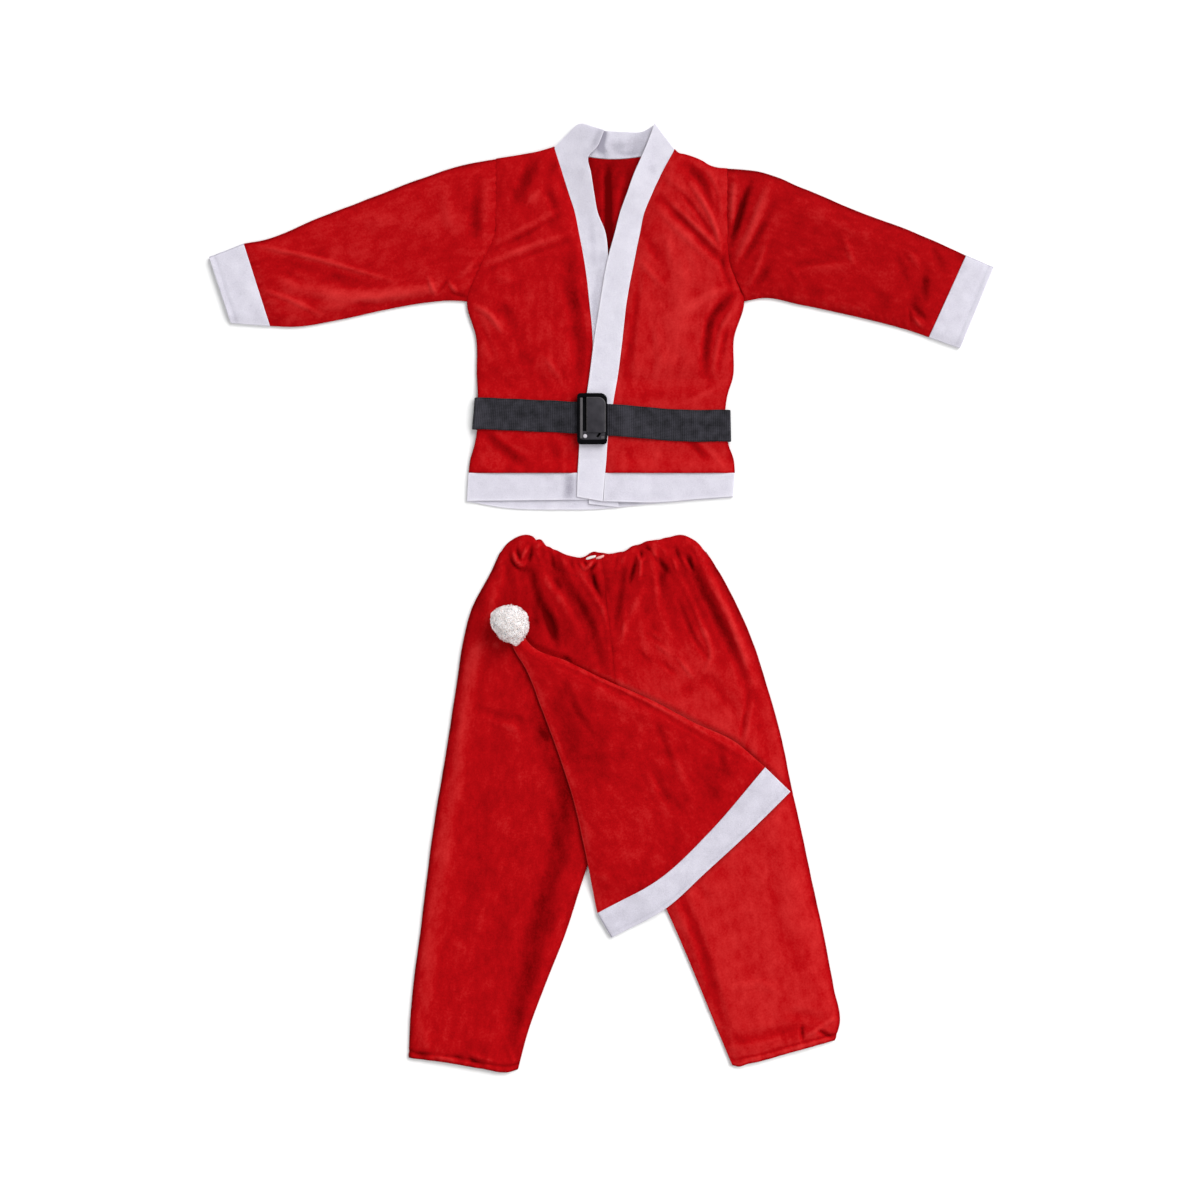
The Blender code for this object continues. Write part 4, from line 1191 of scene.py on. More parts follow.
overRight, underBack, overLeft = (evenRun(belt[run]) for run in ("overRight", "underBack", "overLeft"))
foldRight = sideFold(overRight[-1], underBack[0], -1)
foldLeft = sideFold(underBack[-1], overLeft[0], 1)
path = np.concatenate([overRight, foldRight, underBack, foldLeft, overLeft])
slant = belt["slantLeft"] * ramp(path[:, 0], *belt["slantReach"])
slant -= belt["slantRight"] * ramp(-path[:, 0], *belt["slantReach"])
share = np.linspace(-1, 1, belt["across"])
grid = np.repeat(path[:, None], len(share), axis=1)
grid[..., 0] += slant[:, None] * share
grid[..., 1] -= belt["width"] / 2 * share
onTop = ease(path[:, 2], 5.9, 6.1)
free = (onTop * ease(np.abs(path[:, 0] - belt["middleX"]), *belt["freeFrom"]))[:, None]
wave = np.maximum(ripple(grid[..., 0], grid[..., 1] * 0.35, 46, 61) * belt["wave"], -belt["sink"]) * free
along = lengthsAlong(path)[:, None]
grid[..., 2] += wave
grid[..., 1] += sum(far * np.sin(along / length) for far, length in belt["drift"]) * free
beltStrap = clothWall("beltStrap", grid, suit["webbing"], blackWebbing, wave)
place(beltStrap, "black_webbing", "belt")
print("belt made")


legs = {
    "right": [
        [(-121, 53), (-111, 65.5), (-100, 72.5), (-88, 75), (-68, 67), (-50, 56), (-24, 48), (2, 52)],
        [(-132, 30), (4, 30)],
        [(-154, -12), (8, -12)],
        [(-165, -54), (13, -54)],
        [(-172, -100), (18, -100)],
        [(-182, -165), (19, -165)],
        [(-192, -226), (19, -228)],
        [(-199, -268), (3, -273)],
        [(-206, -318), (-17, -325)],
        [(-216, -400), (-42, -402)],
        [(-225, -469), (-68, -468)],
        [(-229, -522), (-87, -520)],
        [(-230, -551), (-188, -556), (-141, -564), (-110, -568), (-99, -565)],
    ],
    "left": [
        [(127, 54), (111, 70), (95, 75), (72, 71), (50, 65), (27, 55), (2, 52)],
        [(143, 30), (4, 30)],
        [(165, -12), (8, -12)],
        [(183, -54), (13, -54)],
        [(198, -100), (18, -100)],
        [(215, -160), (19, -165)],
        [(228, -222), (19, -228)],
        [(238, -266), (35, -276)],
        [(249, -318), (56, -323)],
        [(266, -396), (90, -397)],
        [(280, -469), (120, -468)],
        [(287, -508), (138, -512)],
        [(281, -530), (226, -545), (191, -555), (175, -558.5), (166, -561.5), (158, -560)],
    ],
    "puff": 3.6,
    "closes": 14,
    "step": 2.2,
    "waistEdge": [
        # x, width and rise of every bump along the gathered edge
        (-91, 12, 0.6),
        (-77.5, 2.4, -2.8),
        (-71, 2.6, 1.0),
        (-65, 3.4, -3.2),
        (-58, 4, -1.8),
        (-42, 6, -0.6),
        (-9, 8.5, 5.6),
        (3, 4, 1.2),
        (22, 5, 0.9),
        (38, 6, 2.4),
        (55, 5, 1.3),
        (71, 4, -1.0),
        (84, 6, -1.0),
        (99, 6, 0.9),
    ],
    "wholeFrom": {"fromFold": 5, "toSeam": 5, "fromTop": 3, "toEnd": 4},
    "uneven": (0.17, 42),
    "hemPuckers": (0.45, 15, 7),
    "seamPuckers": (0.25, 12, 7),
    "hemTurn": 8,  # from the stitching to the turned edge
    "casing": 23,  # from the waist's top edge to its stitching
    "gathers": 1.05,  # how deep the elastic gathers the waist, and how far down
    "gatherReach": 26,
    "waistShade": 0.9,  # painted shade over the gathered part, as mm of trough
    "waistTo": (60, 190),
    "lowerPaintedLight": {"right": 0.0, "left": 1.1},  # and painted light on the part below it, this much lighter
    "lowerFrom": (70, 230),
    "elasticDip": (-6, 50),
    "dipReach": (12, 7),
    "insideLeg": (-205, -150),  # the levels between which the seam becomes the inside leg's
}
# the hat and its pompom press on the legs and shade them, so their tables come first
hat = {
    "rows": [
        [(-108, -48), (-95, -43)],
        [(-105, -58), (-82, -58)],
        [(-89, -86), (-40, -76)],
        [(-71, -132), (5, -98)],
        [(-50, -188), (62, -123)],
        [(-33, -241), (55, -195), (111, -149)],
        [(-17, -311), (86, -254), (160, -172)],
        [(-4, -378), (74, -334), (130, -281), (197, -203)],
    ],
    "edge": [(13, -407), (80, -370), (125, -329), (175, -283), (227, -232)],
    "floor": 3.9,
    "sag": 3.3,
    "sagY": (-328, -365),
    "sagReach": (12, 50),
    "puff": 3.2,
    "closes": 13,
    "wholeFrom": {"fromFold": 5, "toSeam": 3, "toEnd": 5, "fromTop": 20},
    "step": 2.5,
    "creases": [
        (4.5, 1.2, [(-60, -72), (-15, -91), (50, -121), (120, -158), (196, -201)], "sharp"),
        (4.5, -0.6, [(-52, -80), (-12, -98), (52, -127), (82, -144), (120, -166), (185, -202)]),
        (8, -0.9, [(-43, -102), (-26, -138), (-8, -168)]),
        (22, -0.55, [(-18, -146), (-2, -188), (-12, -232)]),
        (13, 0.6, [(-22, -100), (18, -124), (66, -146)]),
        (7, -0.6, [(64, -140), (78, -178), (88, -206)]),
        (8, 0.6, [(80, -160), (98, -216), (114, -250)]),
        (9, -0.6, [(61, -196), (80, -238), (100, -258)]),
        (8, 0.5, [(54, -206), (66, -232), (76, -252)]),
        (9, -0.8, [(143, -170), (146, -198), (152, -222)]),
        (20, -0.4, [(136, -196), (128, -254)]),
        (24, 0.35, [(0, -232), (34, -252), (58, -286)]),
        (10, 0.4, [(-22, -252), (-14, -300)]),
        (6, 0.5, [(-12, -331), (13, -334)]),
        (22, -1.0, [(-56, -92), (-44, -136), (-22, -214)]),
        (24, 0.55, [(0, -258), (22, -292), (40, -334)]),
        (16, 0.5, [(96, -262), (104, -292)]),
    ],
    "underCreases": [
        (9, -1.2, [(-62, -110), (-22, -152), (18, -214)]),
        (9, 0.9, [(38, -138), (70, -190), (92, -252)]),
        (9, -1.4, [(-26, -246), (8, -290), (30, -344)]),
        (10, -1.0, [(60, -250), (96, -282), (132, -268)]),
    ],
    "uneven": (0.17, 38),
    "seamPuckers": (0.3, 12, 7),
    "bandShade": 0.6,  # the band lies a little in shade, as mm of trough
    "bandPuff": 0.9,
    "bandUneven": (0.12, 26),
    "bandStitch": 5,  # from the stitched groove to the band's edge
}
pompom = {
    "centre": (-108, -31),
    "radius": 23,
    "halfHeight": 19,
    "profile": [
        # degrees round from +X and the fluff's reach there, the longest where the hat's tip is sewn in
        (6, 23),
        (58, 23.4),
        (94, 22.8),
        (114, 23.4),
        (136, 25),
        (156, 25),
        (179, 22.6),
        (212, 19.6),
        (253, 22),
        (273, 23),
        (287, 27.5),
        (302, 24.5),
        (332, 23.6),
    ],
    "nap": 0.8,  # how far the tufts stand past the core
    "lumps": 0.46,  # how far the core's lumps and its curls of yarn rise
    "locks": 0.5,
    "tufts": 1700,
    "tuftRoot": 0.955,  # how far out of the core's middle they start, as a share
    "tuftLength": (1.2, 2.4),
    "tuftCurl": (0.2, 0.9),
    "tuftWidth": 0.9,
}
# painted shade round the hat and the pompom and in the legs' deepest hollows, with painted light beside the
# hat's fold and in the pompom's shadow, carried only in the nap's tone
hatShadow = [
    (17, -1.2, [(-100, -76), (-92, -92), (-78, -134), (-58, -190), (-42, -243), (-24, -312)]),
    (4, 1.3, [(-50, -68), (0, -90), (60, -120), (120, -152), (186, -186)]),
    (5, -2.6, [(57, -320), (66, -342), (78, -370)]),
    (9, 0.9, [(-129, -53), (-123, -62)]),
]
hatOutline = [row[0] for row in hat["rows"]] + hat["edge"] + [row[-1] for row in hat["rows"][::-1]]
legRightCreases = [
    (4, 2.4, [(-105.5, 57), (-104, 50), (-99, 42), (-93, 40), (-88.5, 44)]),
    (3.6, 2.6, [(-95, 45), (-91, 54), (-87, 62)]),
    (4, -2.2, [(-100, 59), (-98.5, 52), (-96, 47)]),
    (4.5, -2.0, [(-83, 61), (-83.5, 53), (-86, 44)]),
    (3.5, 1.4, [(-77, 61), (-71, 65)]),
    (4, 1.0, [(-76, 58), (-73, 48), (-68, 38)]),
    (4.5, -1.1, [(-62, 58), (-58, 46), (-55, 30)]),
    (4, 0.8, [(-46, 50), (-43, 38)]),
    (4, -0.8, [(-37, 48), (-33, 34)]),
    (3, 1.6, [(-25, 43), (-19, 34)]),
    (3, 2.6, [(-19, 34), (-14, 38), (-9, 45)]),
    (2.8, -1.4, [(-20, 44), (-17, 39)]),
    (3.8, -2.0, [(-13, 32), (-8, 38), (-4, 43)]),
    (4, -1.6, [(-8, 28), (-6, 12)]),
    (4.5, -1.7, [(-109, 50), (-104, 41), (-97, 35), (-88, 33)]),
    (9, -1.6, [(-87, 40), (-77, 8), (-62, -40)]),
    (9, -2.7, [(-66, -12), (-59, -30), (-54, -54)]),
    (9, 1.4, [(-76, 38), (-49, 1), (-22, -47)]),
    (9, -1.3, [(-56, 46), (-35, 10), (-15, -23), (3, -88)]),
    (7, 1.5, [(-30, 38), (-10, 8), (6, -19), (14, -90)]),
    (5, -1.4, [(-13, 33), (1, -3)]),
    (9, 0.8, [(-120, 40), (-124, 10), (-135, -30)]),
    (10, -0.3, [(-108, 30), (-108, -2), (-118, -40)]),
    (10, -0.4, [(-124, -84), (-112, -104)]),
    (7, -0.6, [(-148, -131), (-116, -141), (-84, -149)]),
    (6, 0.6, [(-144, -143), (-92, -160)]),
    (6, -1.2, [(-73, -157), (-63, -173)]),
    (13, 0.9, [(-150, -40), (-163, -150), (-185, -300), (-205, -450), (-212, -535)]),
    (24, -0.35, [(-132, -190), (-140, -290), (-160, -400)]),
    (22, -0.35, [(-104, -296), (-120, -380), (-160, -480)]),
    (20, -1.35, [(-40, -214), (-48, -280), (-61, -342), (-82, -414), (-98, -482), (-116, -566)]),
    (4.5, -2.4, [(-46, -69), (-34, -76)]),
    (12, -0.6, [(-36, -330), (-66, -404), (-86, -468), (-110, -540)]),
    (4, -1.4, [(-224, -546), (-206, -549)]),
    (3.5, 1.2, [(-200, -547), (-186, -551), (-172, -553)]),
    (3.5, -1.3, [(-196, -555), (-182, -558)]),
    (4, -0.8, [(-178, -549), (-166, -550)]),
    (4, -1.6, [(-160, -549), (-150, -556), (-138, -561)]),
    (4, 1.1, [(-156, -545), (-136, -553), (-120, -557)]),
    (5, 1.0, [(-112, -535), (-106, -548), (-103, -560)]),
    (12, 0.8, [(-128, 30), (-134, -4), (-140, -30)]),
    (18, 1.3, [(-138, -40), (-152, -72), (-162, -112)]),
    (11, 0.7, [(-182, -210), (-200, -330), (-214, -450), (-222, -535)]),
    (9, -1.1, [(-56, 26), (-50, 8)]),
    (8, 0.6, [(-118, 50), (-118, 20), (-108, -4)]),
    (7, -0.9, [(-80, -6), (-76, -34)]),
    (9, -0.7, [(-104, -138), (-90, -166)]),
    (12, -0.7, [(-62, -238), (-56, -280), (-42, -318)]),
    (12, 0.7, [(-214, -518), (-206, -545)]),
    (9, 0.6, [(-161, -104), (-168, -150), (-176, -196)]),
    (8, 0.7, [(-45, -378), (-54, -406)]),
    (9, -0.5, [(-42, -302), (-48, -338)]),
]
legLeftCreases = [
    (4.5, -2.2, [(41.5, 47), (39.5, 35), (35, 18)]),
    (4, 1.6, [(43.5, 55), (48, 41), (46, 20)]),
    (3.5, 1.2, [(53, 50), (48, 41)]),
    (3, -1.5, [(48, 56), (49, 49)]),
    (4, -0.8, [(20, 50), (17, 36)]),
    (4, 0.8, [(28, 52), (27, 38)]),
    (7, 1.1, [(52, 18), (38, -18), (22, -56)]),
    (7, -1.1, [(28, 40), (24, 5), (16, -40)]),
    (3, -1.8, [(53, 61), (61, 57)]),
    (3.5, 1.2, [(62, 59), (66, 52), (70, 45)]),
    (3.5, 1.1, [(70, 62), (77, 56), (80, 50)]),
    (6, -2.0, [(68, 48), (81, 31)]),
    (4, -1.9, [(89, 59), (98, 42)]),
    (4, 1.2, [(85, 50), (93, 31)]),
    (4, 1.3, [(102, 58), (110, 50), (115, 36)]),
    (4, -1.6, [(104, 49), (111, 31)]),
    (7, 1.1, [(60, 46), (66, 20), (68, -20)]),
    (9, -0.5, [(76, 20), (84, -20), (88, -60)]),
    (4, 0.9, [(30, -16), (27, -48)]),
    (4, 0.8, [(58, -38), (73, -49)]),
    (4.5, 0.7, [(64, -54), (84, -67)]),
    (5, -0.7, [(44, -62), (60, -78)]),
    (5, -0.7, [(72, -76), (92, -92)]),
    (4.5, 0.8, [(92, -70), (112, -96)]),
    (5.5, -1.0, [(93, -3), (118, -58), (130, -74)]),
    (5.5, 1.1, [(96, 24), (118, -25), (132, -72), (112, -105)]),
    (10.5, -1.7, [(103, 57), (115, 27), (135, -14), (164, -76), (178, -118)]),
    (4.5, 1.4, [(89, 57), (112, 29)]),
    (8, 1.6, [(114, 60), (134, 18), (154, -23), (184, -105)]),
    (4.5, -1.0, [(178, -112), (171, -148), (167, -172)]),
    (4, 0.7, [(184, -120), (178, -150), (174, -172)]),
    (12, -0.6, [(66, -110), (92, -118), (126, -96), (150, -120), (168, -150)]),
    (12, 0.2, [(196, -220), (214, -280), (222, -330)]),
    (22, -0.25, [(180, -280), (212, -400), (236, -480)]),
    (11, -1.2, [(88, -340), (101, -370), (118, -411), (132, -456), (149, -516)]),
    (16, 0.5, [(186, -316), (204, -392)]),
    (9, 0.5, [(158, -468), (190, -462), (214, -470)]),
    (4.5, 0.6, [(150, -540), (200, -531), (236, -520)]),
    (11, -0.7, [(222, -497), (268, -504)]),
    (4, -1.7, [(241, -512), (241.5, -530)]),
    (4.5, -2.2, [(261, -518), (270, -523), (280, -527)]),
    (4, 1.3, [(247, -524), (258, -518), (266, -511)]),
    (4, 1.0, [(268, -512), (276, -506), (284, -502)]),
    (18, 0.8, [(72, -14), (80, -50), (92, -84)]),
    (18, -0.9, [(178, -90), (190, -140), (204, -196)]),
    (8, -1.2, [(77, 38), (70, 12)]),
    (13, -0.9, [(148, -532), (200, -524), (262, -512)]),
    (12, -0.6, [(112, -338), (126, -364)]),
    (10, -0.6, [(26, -84), (34, -106)]),
    (12, 0.6, [(48, -20), (56, -70)]),
]
legUnderCreases = {
    "right": [
        (10, -1.6, [(-98, 40), (-106, 0), (-128, -60)]),
        (8, 1.2, [(-86, 44), (-86, 8), (-98, -50)]),
        (9, -1.5, [(-68, 42), (-64, 6), (-50, -40)]),
        (9, -1.3, [(-42, 34), (-28, -10), (-14, -64)]),
        (7, 1.0, [(-22, 30), (-10, -8), (2, -70)]),
        (10, -1.7, [(10, -120), (-30, -146), (-88, -158)]),
        (8, 1.0, [(8, -142), (-32, -168), (-94, -184)]),
        (11, -1.5, [(10, -176), (-24, -214), (-62, -256)]),
        (16, -1.2, [(-148, -150), (-160, -250), (-178, -352)]),
        (14, 1.0, [(-114, -290), (-132, -390), (-152, -484)]),
        (13, -1.4, [(-58, -326), (-88, -420), (-118, -516)]),
        (9, -1.0, [(-210, -424), (-182, -446), (-158, -452)]),
    ],
    "left": [
        (11, -1.7, [(106, 44), (124, -8), (152, -74)]),
        (8, 1.2, [(86, 48), (94, 4), (106, -48)]),
        (10, -1.4, [(66, 46), (62, 6), (46, -46)]),
        (8, 1.0, [(42, 40), (34, -6), (22, -62)]),
        (7, -1.2, [(28, 38), (20, 2), (12, -44)]),
        (10, -1.6, [(28, -116), (74, -138), (134, -146)]),
        (8, 1.0, [(34, -140), (78, -162), (130, -168)]),
        (11, -1.4, [(34, -196), (66, -242), (100, -274)]),
        (16, -1.1, [(188, -156), (208, -260), (228, -354)]),
        (15, 1.0, [(118, -296), (152, -390), (188, -474)]),
        (12, -1.5, [(94, -346), (126, -430), (154, -504)]),
        (9, -1.0, [(264, -436), (236, -456), (208, -458)]),
    ],
}


def clearOfHat(x, y):
    # nothing under the hat, rising to one beside it, slowly along its folded edge
    centreX, centreY = pompom["centre"]
    foldAway = outsideBy(x, y, [row[0] for row in hat["rows"]] + hat["edge"][:1])
    beyondFold = 1 - ease(np.abs(foldAway), 5, 12)
    clear = ease(outsideBy(x, y, hatOutline), 0.0, 6.5 + 8 * beyondFold)
    return clear * ease(np.hypot(x - centreX, y - centreY), pompom["radius"] - 9, pompom["radius"] - 2)


def makeLeg(side, material, creases, seed):
    way = -1 if side == "right" else 1
    rows = [[(x + way * suit["seamGap"] / 2, y) for x, y in row] for row in legs[side]]
    flat = loftGrid(rows, suit["velour"] + suit["air"] / 2, legs["step"])
    g = gridFacts(flat)
    bumpy = fading(g["fromTop"], 7) * ramp(g["fromFold"], 0, 6)
    for at, wide, rise in legs["waistEdge"]:
        flat[..., 1] += rise * bumpy * bell(flat[..., 0], at, wide)
    x, y, fromTop, toEnd, toSeam = (g[key] for key in ("x", "y", "fromTop", "toEnd", "toSeam"))
    below = 1 - ease(y, *legs["insideLeg"])
    clear = clearOfHat(x, y)
    across = x + 8 * np.sin(y / 21)
    gather = np.sin(across / 3.1 + 1.2 * np.sin(across / 17)) + 0.7 * np.sin(across / 5.3 + 1.0)
    gather = legs["gathers"] * gather
    hemGrooveShade = bell(toEnd, legs["hemTurn"], 1.8)

    relief = creaseField(x, y, creases) * insideOf(g, **legs["wholeFrom"])
    relief += 0.5 * gather * fading(fromTop, legs["gatherReach"]) * ramp(fromTop, 0, 3)
    relief -= 0.35 * bell(fromTop, legs["casing"], 2.6) + 0.7 * bell(toEnd, legs["hemTurn"], 2.0)
    relief += 0.9 * bell(toEnd, 3.5, 2.6) + puckers(toEnd, g["fromFold"], seed + 3, *legs["hemPuckers"])
    relief += uneven(g, legs["uneven"], seed)
    relief += puckers(toSeam, fromTop, seed, *legs["seamPuckers"]) * ramp(toSeam, 0, 3)
    relief -= 0.3 * fading(toSeam, 2.4) * (1 - below)

    # painted shade where the leg turns down at its edges and in the hem's groove, over the gathered waist
    # and round the hat; painted light on the lower left leg and beside the hat's fold
    reliefShade = relief + paintedEdgeShade(g["fromFold"]) + 1.2 * paintedEdgeShade(toEnd, 1.6) + 0.7 * paintedEdgeShade(fromTop)
    reliefShade += paintedEdgeShade(toSeam) * np.where(below > 0, 0.6, 0.25) - 1.1 * hemGrooveShade
    reliefShade -= legs["waistShade"] * (1 - ease(fromTop, *legs["waistTo"])) * ease(fromTop, 2, 34)
    reliefShade += legs["lowerPaintedLight"][side] * ease(fromTop, *legs["lowerFrom"]) + creaseField(x, y, hatShadow)

    relief = np.where(clear < 1, relief * clear, relief)
    ends = 0.6 * pillow(fromTop, 5) + 0.4 * ease(fromTop, 18, 50)
    ends = np.minimum(ends, 0.45 + 0.55 * pillow(toEnd, 24))
    (dipX, dipY), (wide, high) = legs["elasticDip"], legs["dipReach"]
    dip = 1 - bell(x, dipX, wide) * bell(y, dipY, high)
    puff = legs["puff"] * ends * clear * dip
    hidden = hiddenRelief(g, legUnderCreases[side], seed + 5)
    relief = relief * dip
    low, high = foldedLayers(g, 0 * x, suit["velour"], puff, relief, legs["closes"], below, 34, hidden)
    # on the face that lies down, painted shade at the hem, the seam and the casing's stitching
    underReliefShade = hidden + 0.6 * gather * fading(fromTop, 30) + 0.8 * paintedEdgeShade(toEnd, 1.6) - 1.1 * hemGrooveShade
    underReliefShade += 0.25 * paintedEdgeShade(toSeam) - 1.0 * bell(fromTop, legs["casing"], 2.2)
    sheet, lift = foldedOver(flat, low, high, reliefShade, underReliefShade)
    name = "leg" + side.capitalize()
    piece = clothWall(name, sheet, suit["velour"], material, lift)
    top = np.dstack([flat, high])
    for seam, distance, wanted in (("Hem", toEnd, legs["hemTurn"]), ("Casing", fromTop, legs["casing"])):
        path = atDistance(top, distance, wanted, suit["velour"] / 2)
        stitchRow(name + seam + "Stitches", path, redThread, "red_velour")
    return place(piece, "red_velour", "trouser_leg_" + side)


legRight = makeLeg("right", legRightVelour, legRightCreases, 71)
legLeft = makeLeg("left", legLeftVelour, legLeftCreases, 72)


# the elastic shows as two short twisted lengths where the casing's seam is left open
elastic = {
    "strands": {
        "waistElastic": [
            [(-17.8, 45.6), (-16.6, 48.2)],
            [(-11.6, 47.2), (-10.6, 50.3)],
            [(-6.4, 48.9), (-5.6, 51.0)],
        ],
        "waistElasticEnd": [
            [(-5.4, 46.8), (-4.6, 48.6)],
            [(-0.6, 47.4), (0.2, 50.4)],
            [(3.8, 49.6), (4.2, 51.4)],
        ],
    },
    "z": 4.5,
    "crown": 0.7,
    "wall": 1.0,
}
strands = []
for name, rows in elastic["strands"].items():
    flat = loftGrid(rows, step=1.0)
    g = gridFacts(flat)
    sides = np.minimum(pillow(g["fromFold"], 2), pillow(g["toSeam"], 2))
    ends = np.minimum(pillow(g["fromTop"], 3), pillow(g["toEnd"], 3))
    z = elastic["z"] + elastic["crown"] * (sides + ends - 1)
    nodes = ["waist_elastic"] if name == "waistElastic" else []
    # the end lengths are painted in shade
    yarn = elasticYarn if nodes else elasticShaded
    strand = clothWall(name, np.dstack([flat, z]), elastic["wall"], yarn, 0 * z)
    strands.append(place(strand, "white_elastic", *nodes))
print("trousers made")


def hatFloor(x, y):
    innerX, innerY = legs["left"][9][1]
    crotchX, crotchY = legs["left"][7][1]
    legX = crotchX + (innerX - crotchX) * (y - crotchY) / (innerY - crotchY)
    near, far = hat["sagReach"]
    across = ease(x, legX - near, legX - far)
    return hat["floor"] - hat["sag"] * across * ease(y, *hat["sagY"])


flat = loftGrid(hat["rows"], suit["velour"] + suit["air"] / 2, hat["step"])
g = gridFacts(flat)
x, y = g["x"], g["y"]
relief = creaseField(x, y, hat["creases"]) * insideOf(g, **hat["wholeFrom"])
relief += uneven(g, hat["uneven"], 81) * ramp(g["fromTop"], 0, 15)
relief += puckers(g["toEnd"], g["fromFold"], 82)
relief += puckers(g["toSeam"], g["fromTop"], 83, *hat["seamPuckers"]) * ramp(g["toSeam"], 0, 3)
relief -= 0.4 * fading(g["toEnd"], 2.2)
puff = hat["puff"] * np.minimum(pillow(g["fromTop"], 40), pillow(g["toEnd"], 30))
hidden = hiddenRelief(g, hat["underCreases"], 85)
low, high = foldedLayers(g, hatFloor(x, y), suit["velour"], puff, relief, hat["closes"], hidden=hidden)
# painted light along the seam edge, beside the fold and on the fold's round, against the dark crevice where
# the hat's edges stand over the legs
reliefShade = relief - 0.6 * paintedEdgeShade(g["toSeam"], 1.4) + 0.8 * bell(g["fromFold"], 3, 3)
sheet, lift = foldedOver(flat, low, high, reliefShade, hidden, foldTone=2.4)
hatBody = clothWall("hatBody", sheet, suit["velour"], hatVelour, lift)
place(hatBody, "red_velour", "hat_body")

brim = movedOff(spreadPoints(np.array(hat["rows"][-1], float), 24), hat["edge"], suit["seamGap"])
flat = loftGrid([brim, hat["edge"]], suit["felt"] + suit["air"] / 2, bands["step"])
g = gridFacts(flat)
relief = uneven(g, hat["bandUneven"], 84) - 0.5 * bell(g["toEnd"], hat["bandStitch"], 1.6)
puff = hat["bandPuff"] * pillow(g["fromTop"], 10) * (0.5 + 0.5 * pillow(g["toEnd"], 10))
low, high = foldedLayers(g, hatFloor(g["x"], g["y"]), suit["felt"], puff, relief, 10, crown=16)
sheet, lift = foldedOver(flat, low, high, relief - hat["bandShade"], relief)
hatBand = clothWall("hatBand", sheet, suit["felt"], whiteFelt, lift)
place(hatBand, "white_felt", "hat_band")
print("hat made")


def pompomShape(out):
    # how much further than the plain ball the fluff reaches in each direction
    degrees, reach = np.array(pompom["profile"]).T
    turn = np.degrees(np.arctan2(out[..., 1], out[..., 0])) % 360
    wide = np.interp(turn, degrees, reach / pompom["radius"], period=360)
    level = np.clip(np.hypot(out[..., 0], out[..., 1]), 0, 1) ** 2
    return (1 + (wide - 1) * level)[..., None] * np.array([1, 1, 0]) + np.array([0, 0, 1])


def ballRipple(out, length, seed):
    # ripple over a ball: waves in every direction of space
    rng = np.random.default_rng(seed)
    total = np.zeros(len(out))
    for _ in range(26):
        way = rng.normal(0, 1, 3)
        way *= 2 * math.pi * pompom["radius"] / (np.linalg.norm(way) * length * rng.uniform(0.7, 1.5))
        total += np.sin(out @ way + rng.uniform(0, 2 * math.pi))
    return total / math.sqrt(13)


def makePompom():
    # a woolly core with short tufts of yarn standing out of it all round
    radius, halfHeight = pompom["radius"], pompom["halfHeight"]
    centre = np.array([*pompom["centre"], hat["floor"] + halfHeight])
    reach = np.array([radius, radius, halfHeight]) - pompom["nap"]
    ball = bmesh.new()
    bmesh.ops.create_icosphere(ball, subdivisions=7, radius=1)
    sphere = np.array([vert.co for vert in ball.verts])
    faces = [[vert.index for vert in face.verts] for face in ball.faces]
    ball.free()
    curls = ballRipple(sphere, 3.2, 92) + 0.4 * ballRipple(sphere, 1.7, 94)
    lumps = pompom["lumps"] * ballRipple(sphere, 11, 91) + pompom["locks"] * curls
    core = centre + sphere * reach * (1 + lumps / radius)[:, None] * pompomShape(sphere)
    fluff = place(addPiece("pompomCore", core, faces, fluffYarn), "white_fluff", "hat_pompom")

    rng = np.random.default_rng(93)
    points, faces = [], []
    goldenTurn = math.pi * (3 - math.sqrt(5))
    for k in range(pompom["tufts"]):
        height = 1 - 2 * (k + 0.5) / pompom["tufts"]
        level = math.sqrt(1 - height * height)
        out = np.array([level * math.cos(goldenTurn * k), level * math.sin(goldenTurn * k), height])
        root = centre + out * reach * pompomShape(out) * pompom["tuftRoot"]
        out = unit(out + rng.normal(0, 0.4, 3))
        length = rng.uniform(*pompom["tuftLength"])
        lean = unit(np.cross(out, rng.normal(0, 1, 3)))
        side = np.cross(out, lean)
        curl = lean * rng.uniform(*pompom["tuftCurl"])
        first = len(points)
        for step, width in ((0.0, 1.0), (0.45, 1.15), (0.85, 0.8)):
            middle = root + (out * step + curl * step * step) * length
            for angle in (0, 2 * math.pi / 3, 4 * math.pi / 3):
                beside = side * math.cos(angle) + lean * math.sin(angle)
                points.append(middle + beside * pompom["tuftWidth"] / 2 * width)
        points.append(root + (out + curl) * length)
        for corner in range(3):
            after = (corner + 1) % 3
            for ring in (first, first + 3):
                faces.append((ring + corner, ring + after, ring + after + 3))
                faces.append((ring + corner, ring + after + 3, ring + corner + 3))
            faces.append((first + 6 + corner, first + 6 + after, first + 9))
        faces.append((first + 2, first + 1, first))
    tufts = place(addPiece("pompomTufts", points, faces, fluffYarn), "white_fluff")
    tufts.parent = fluff
    return fluff


fluff = makePompom()
print("pompom made")


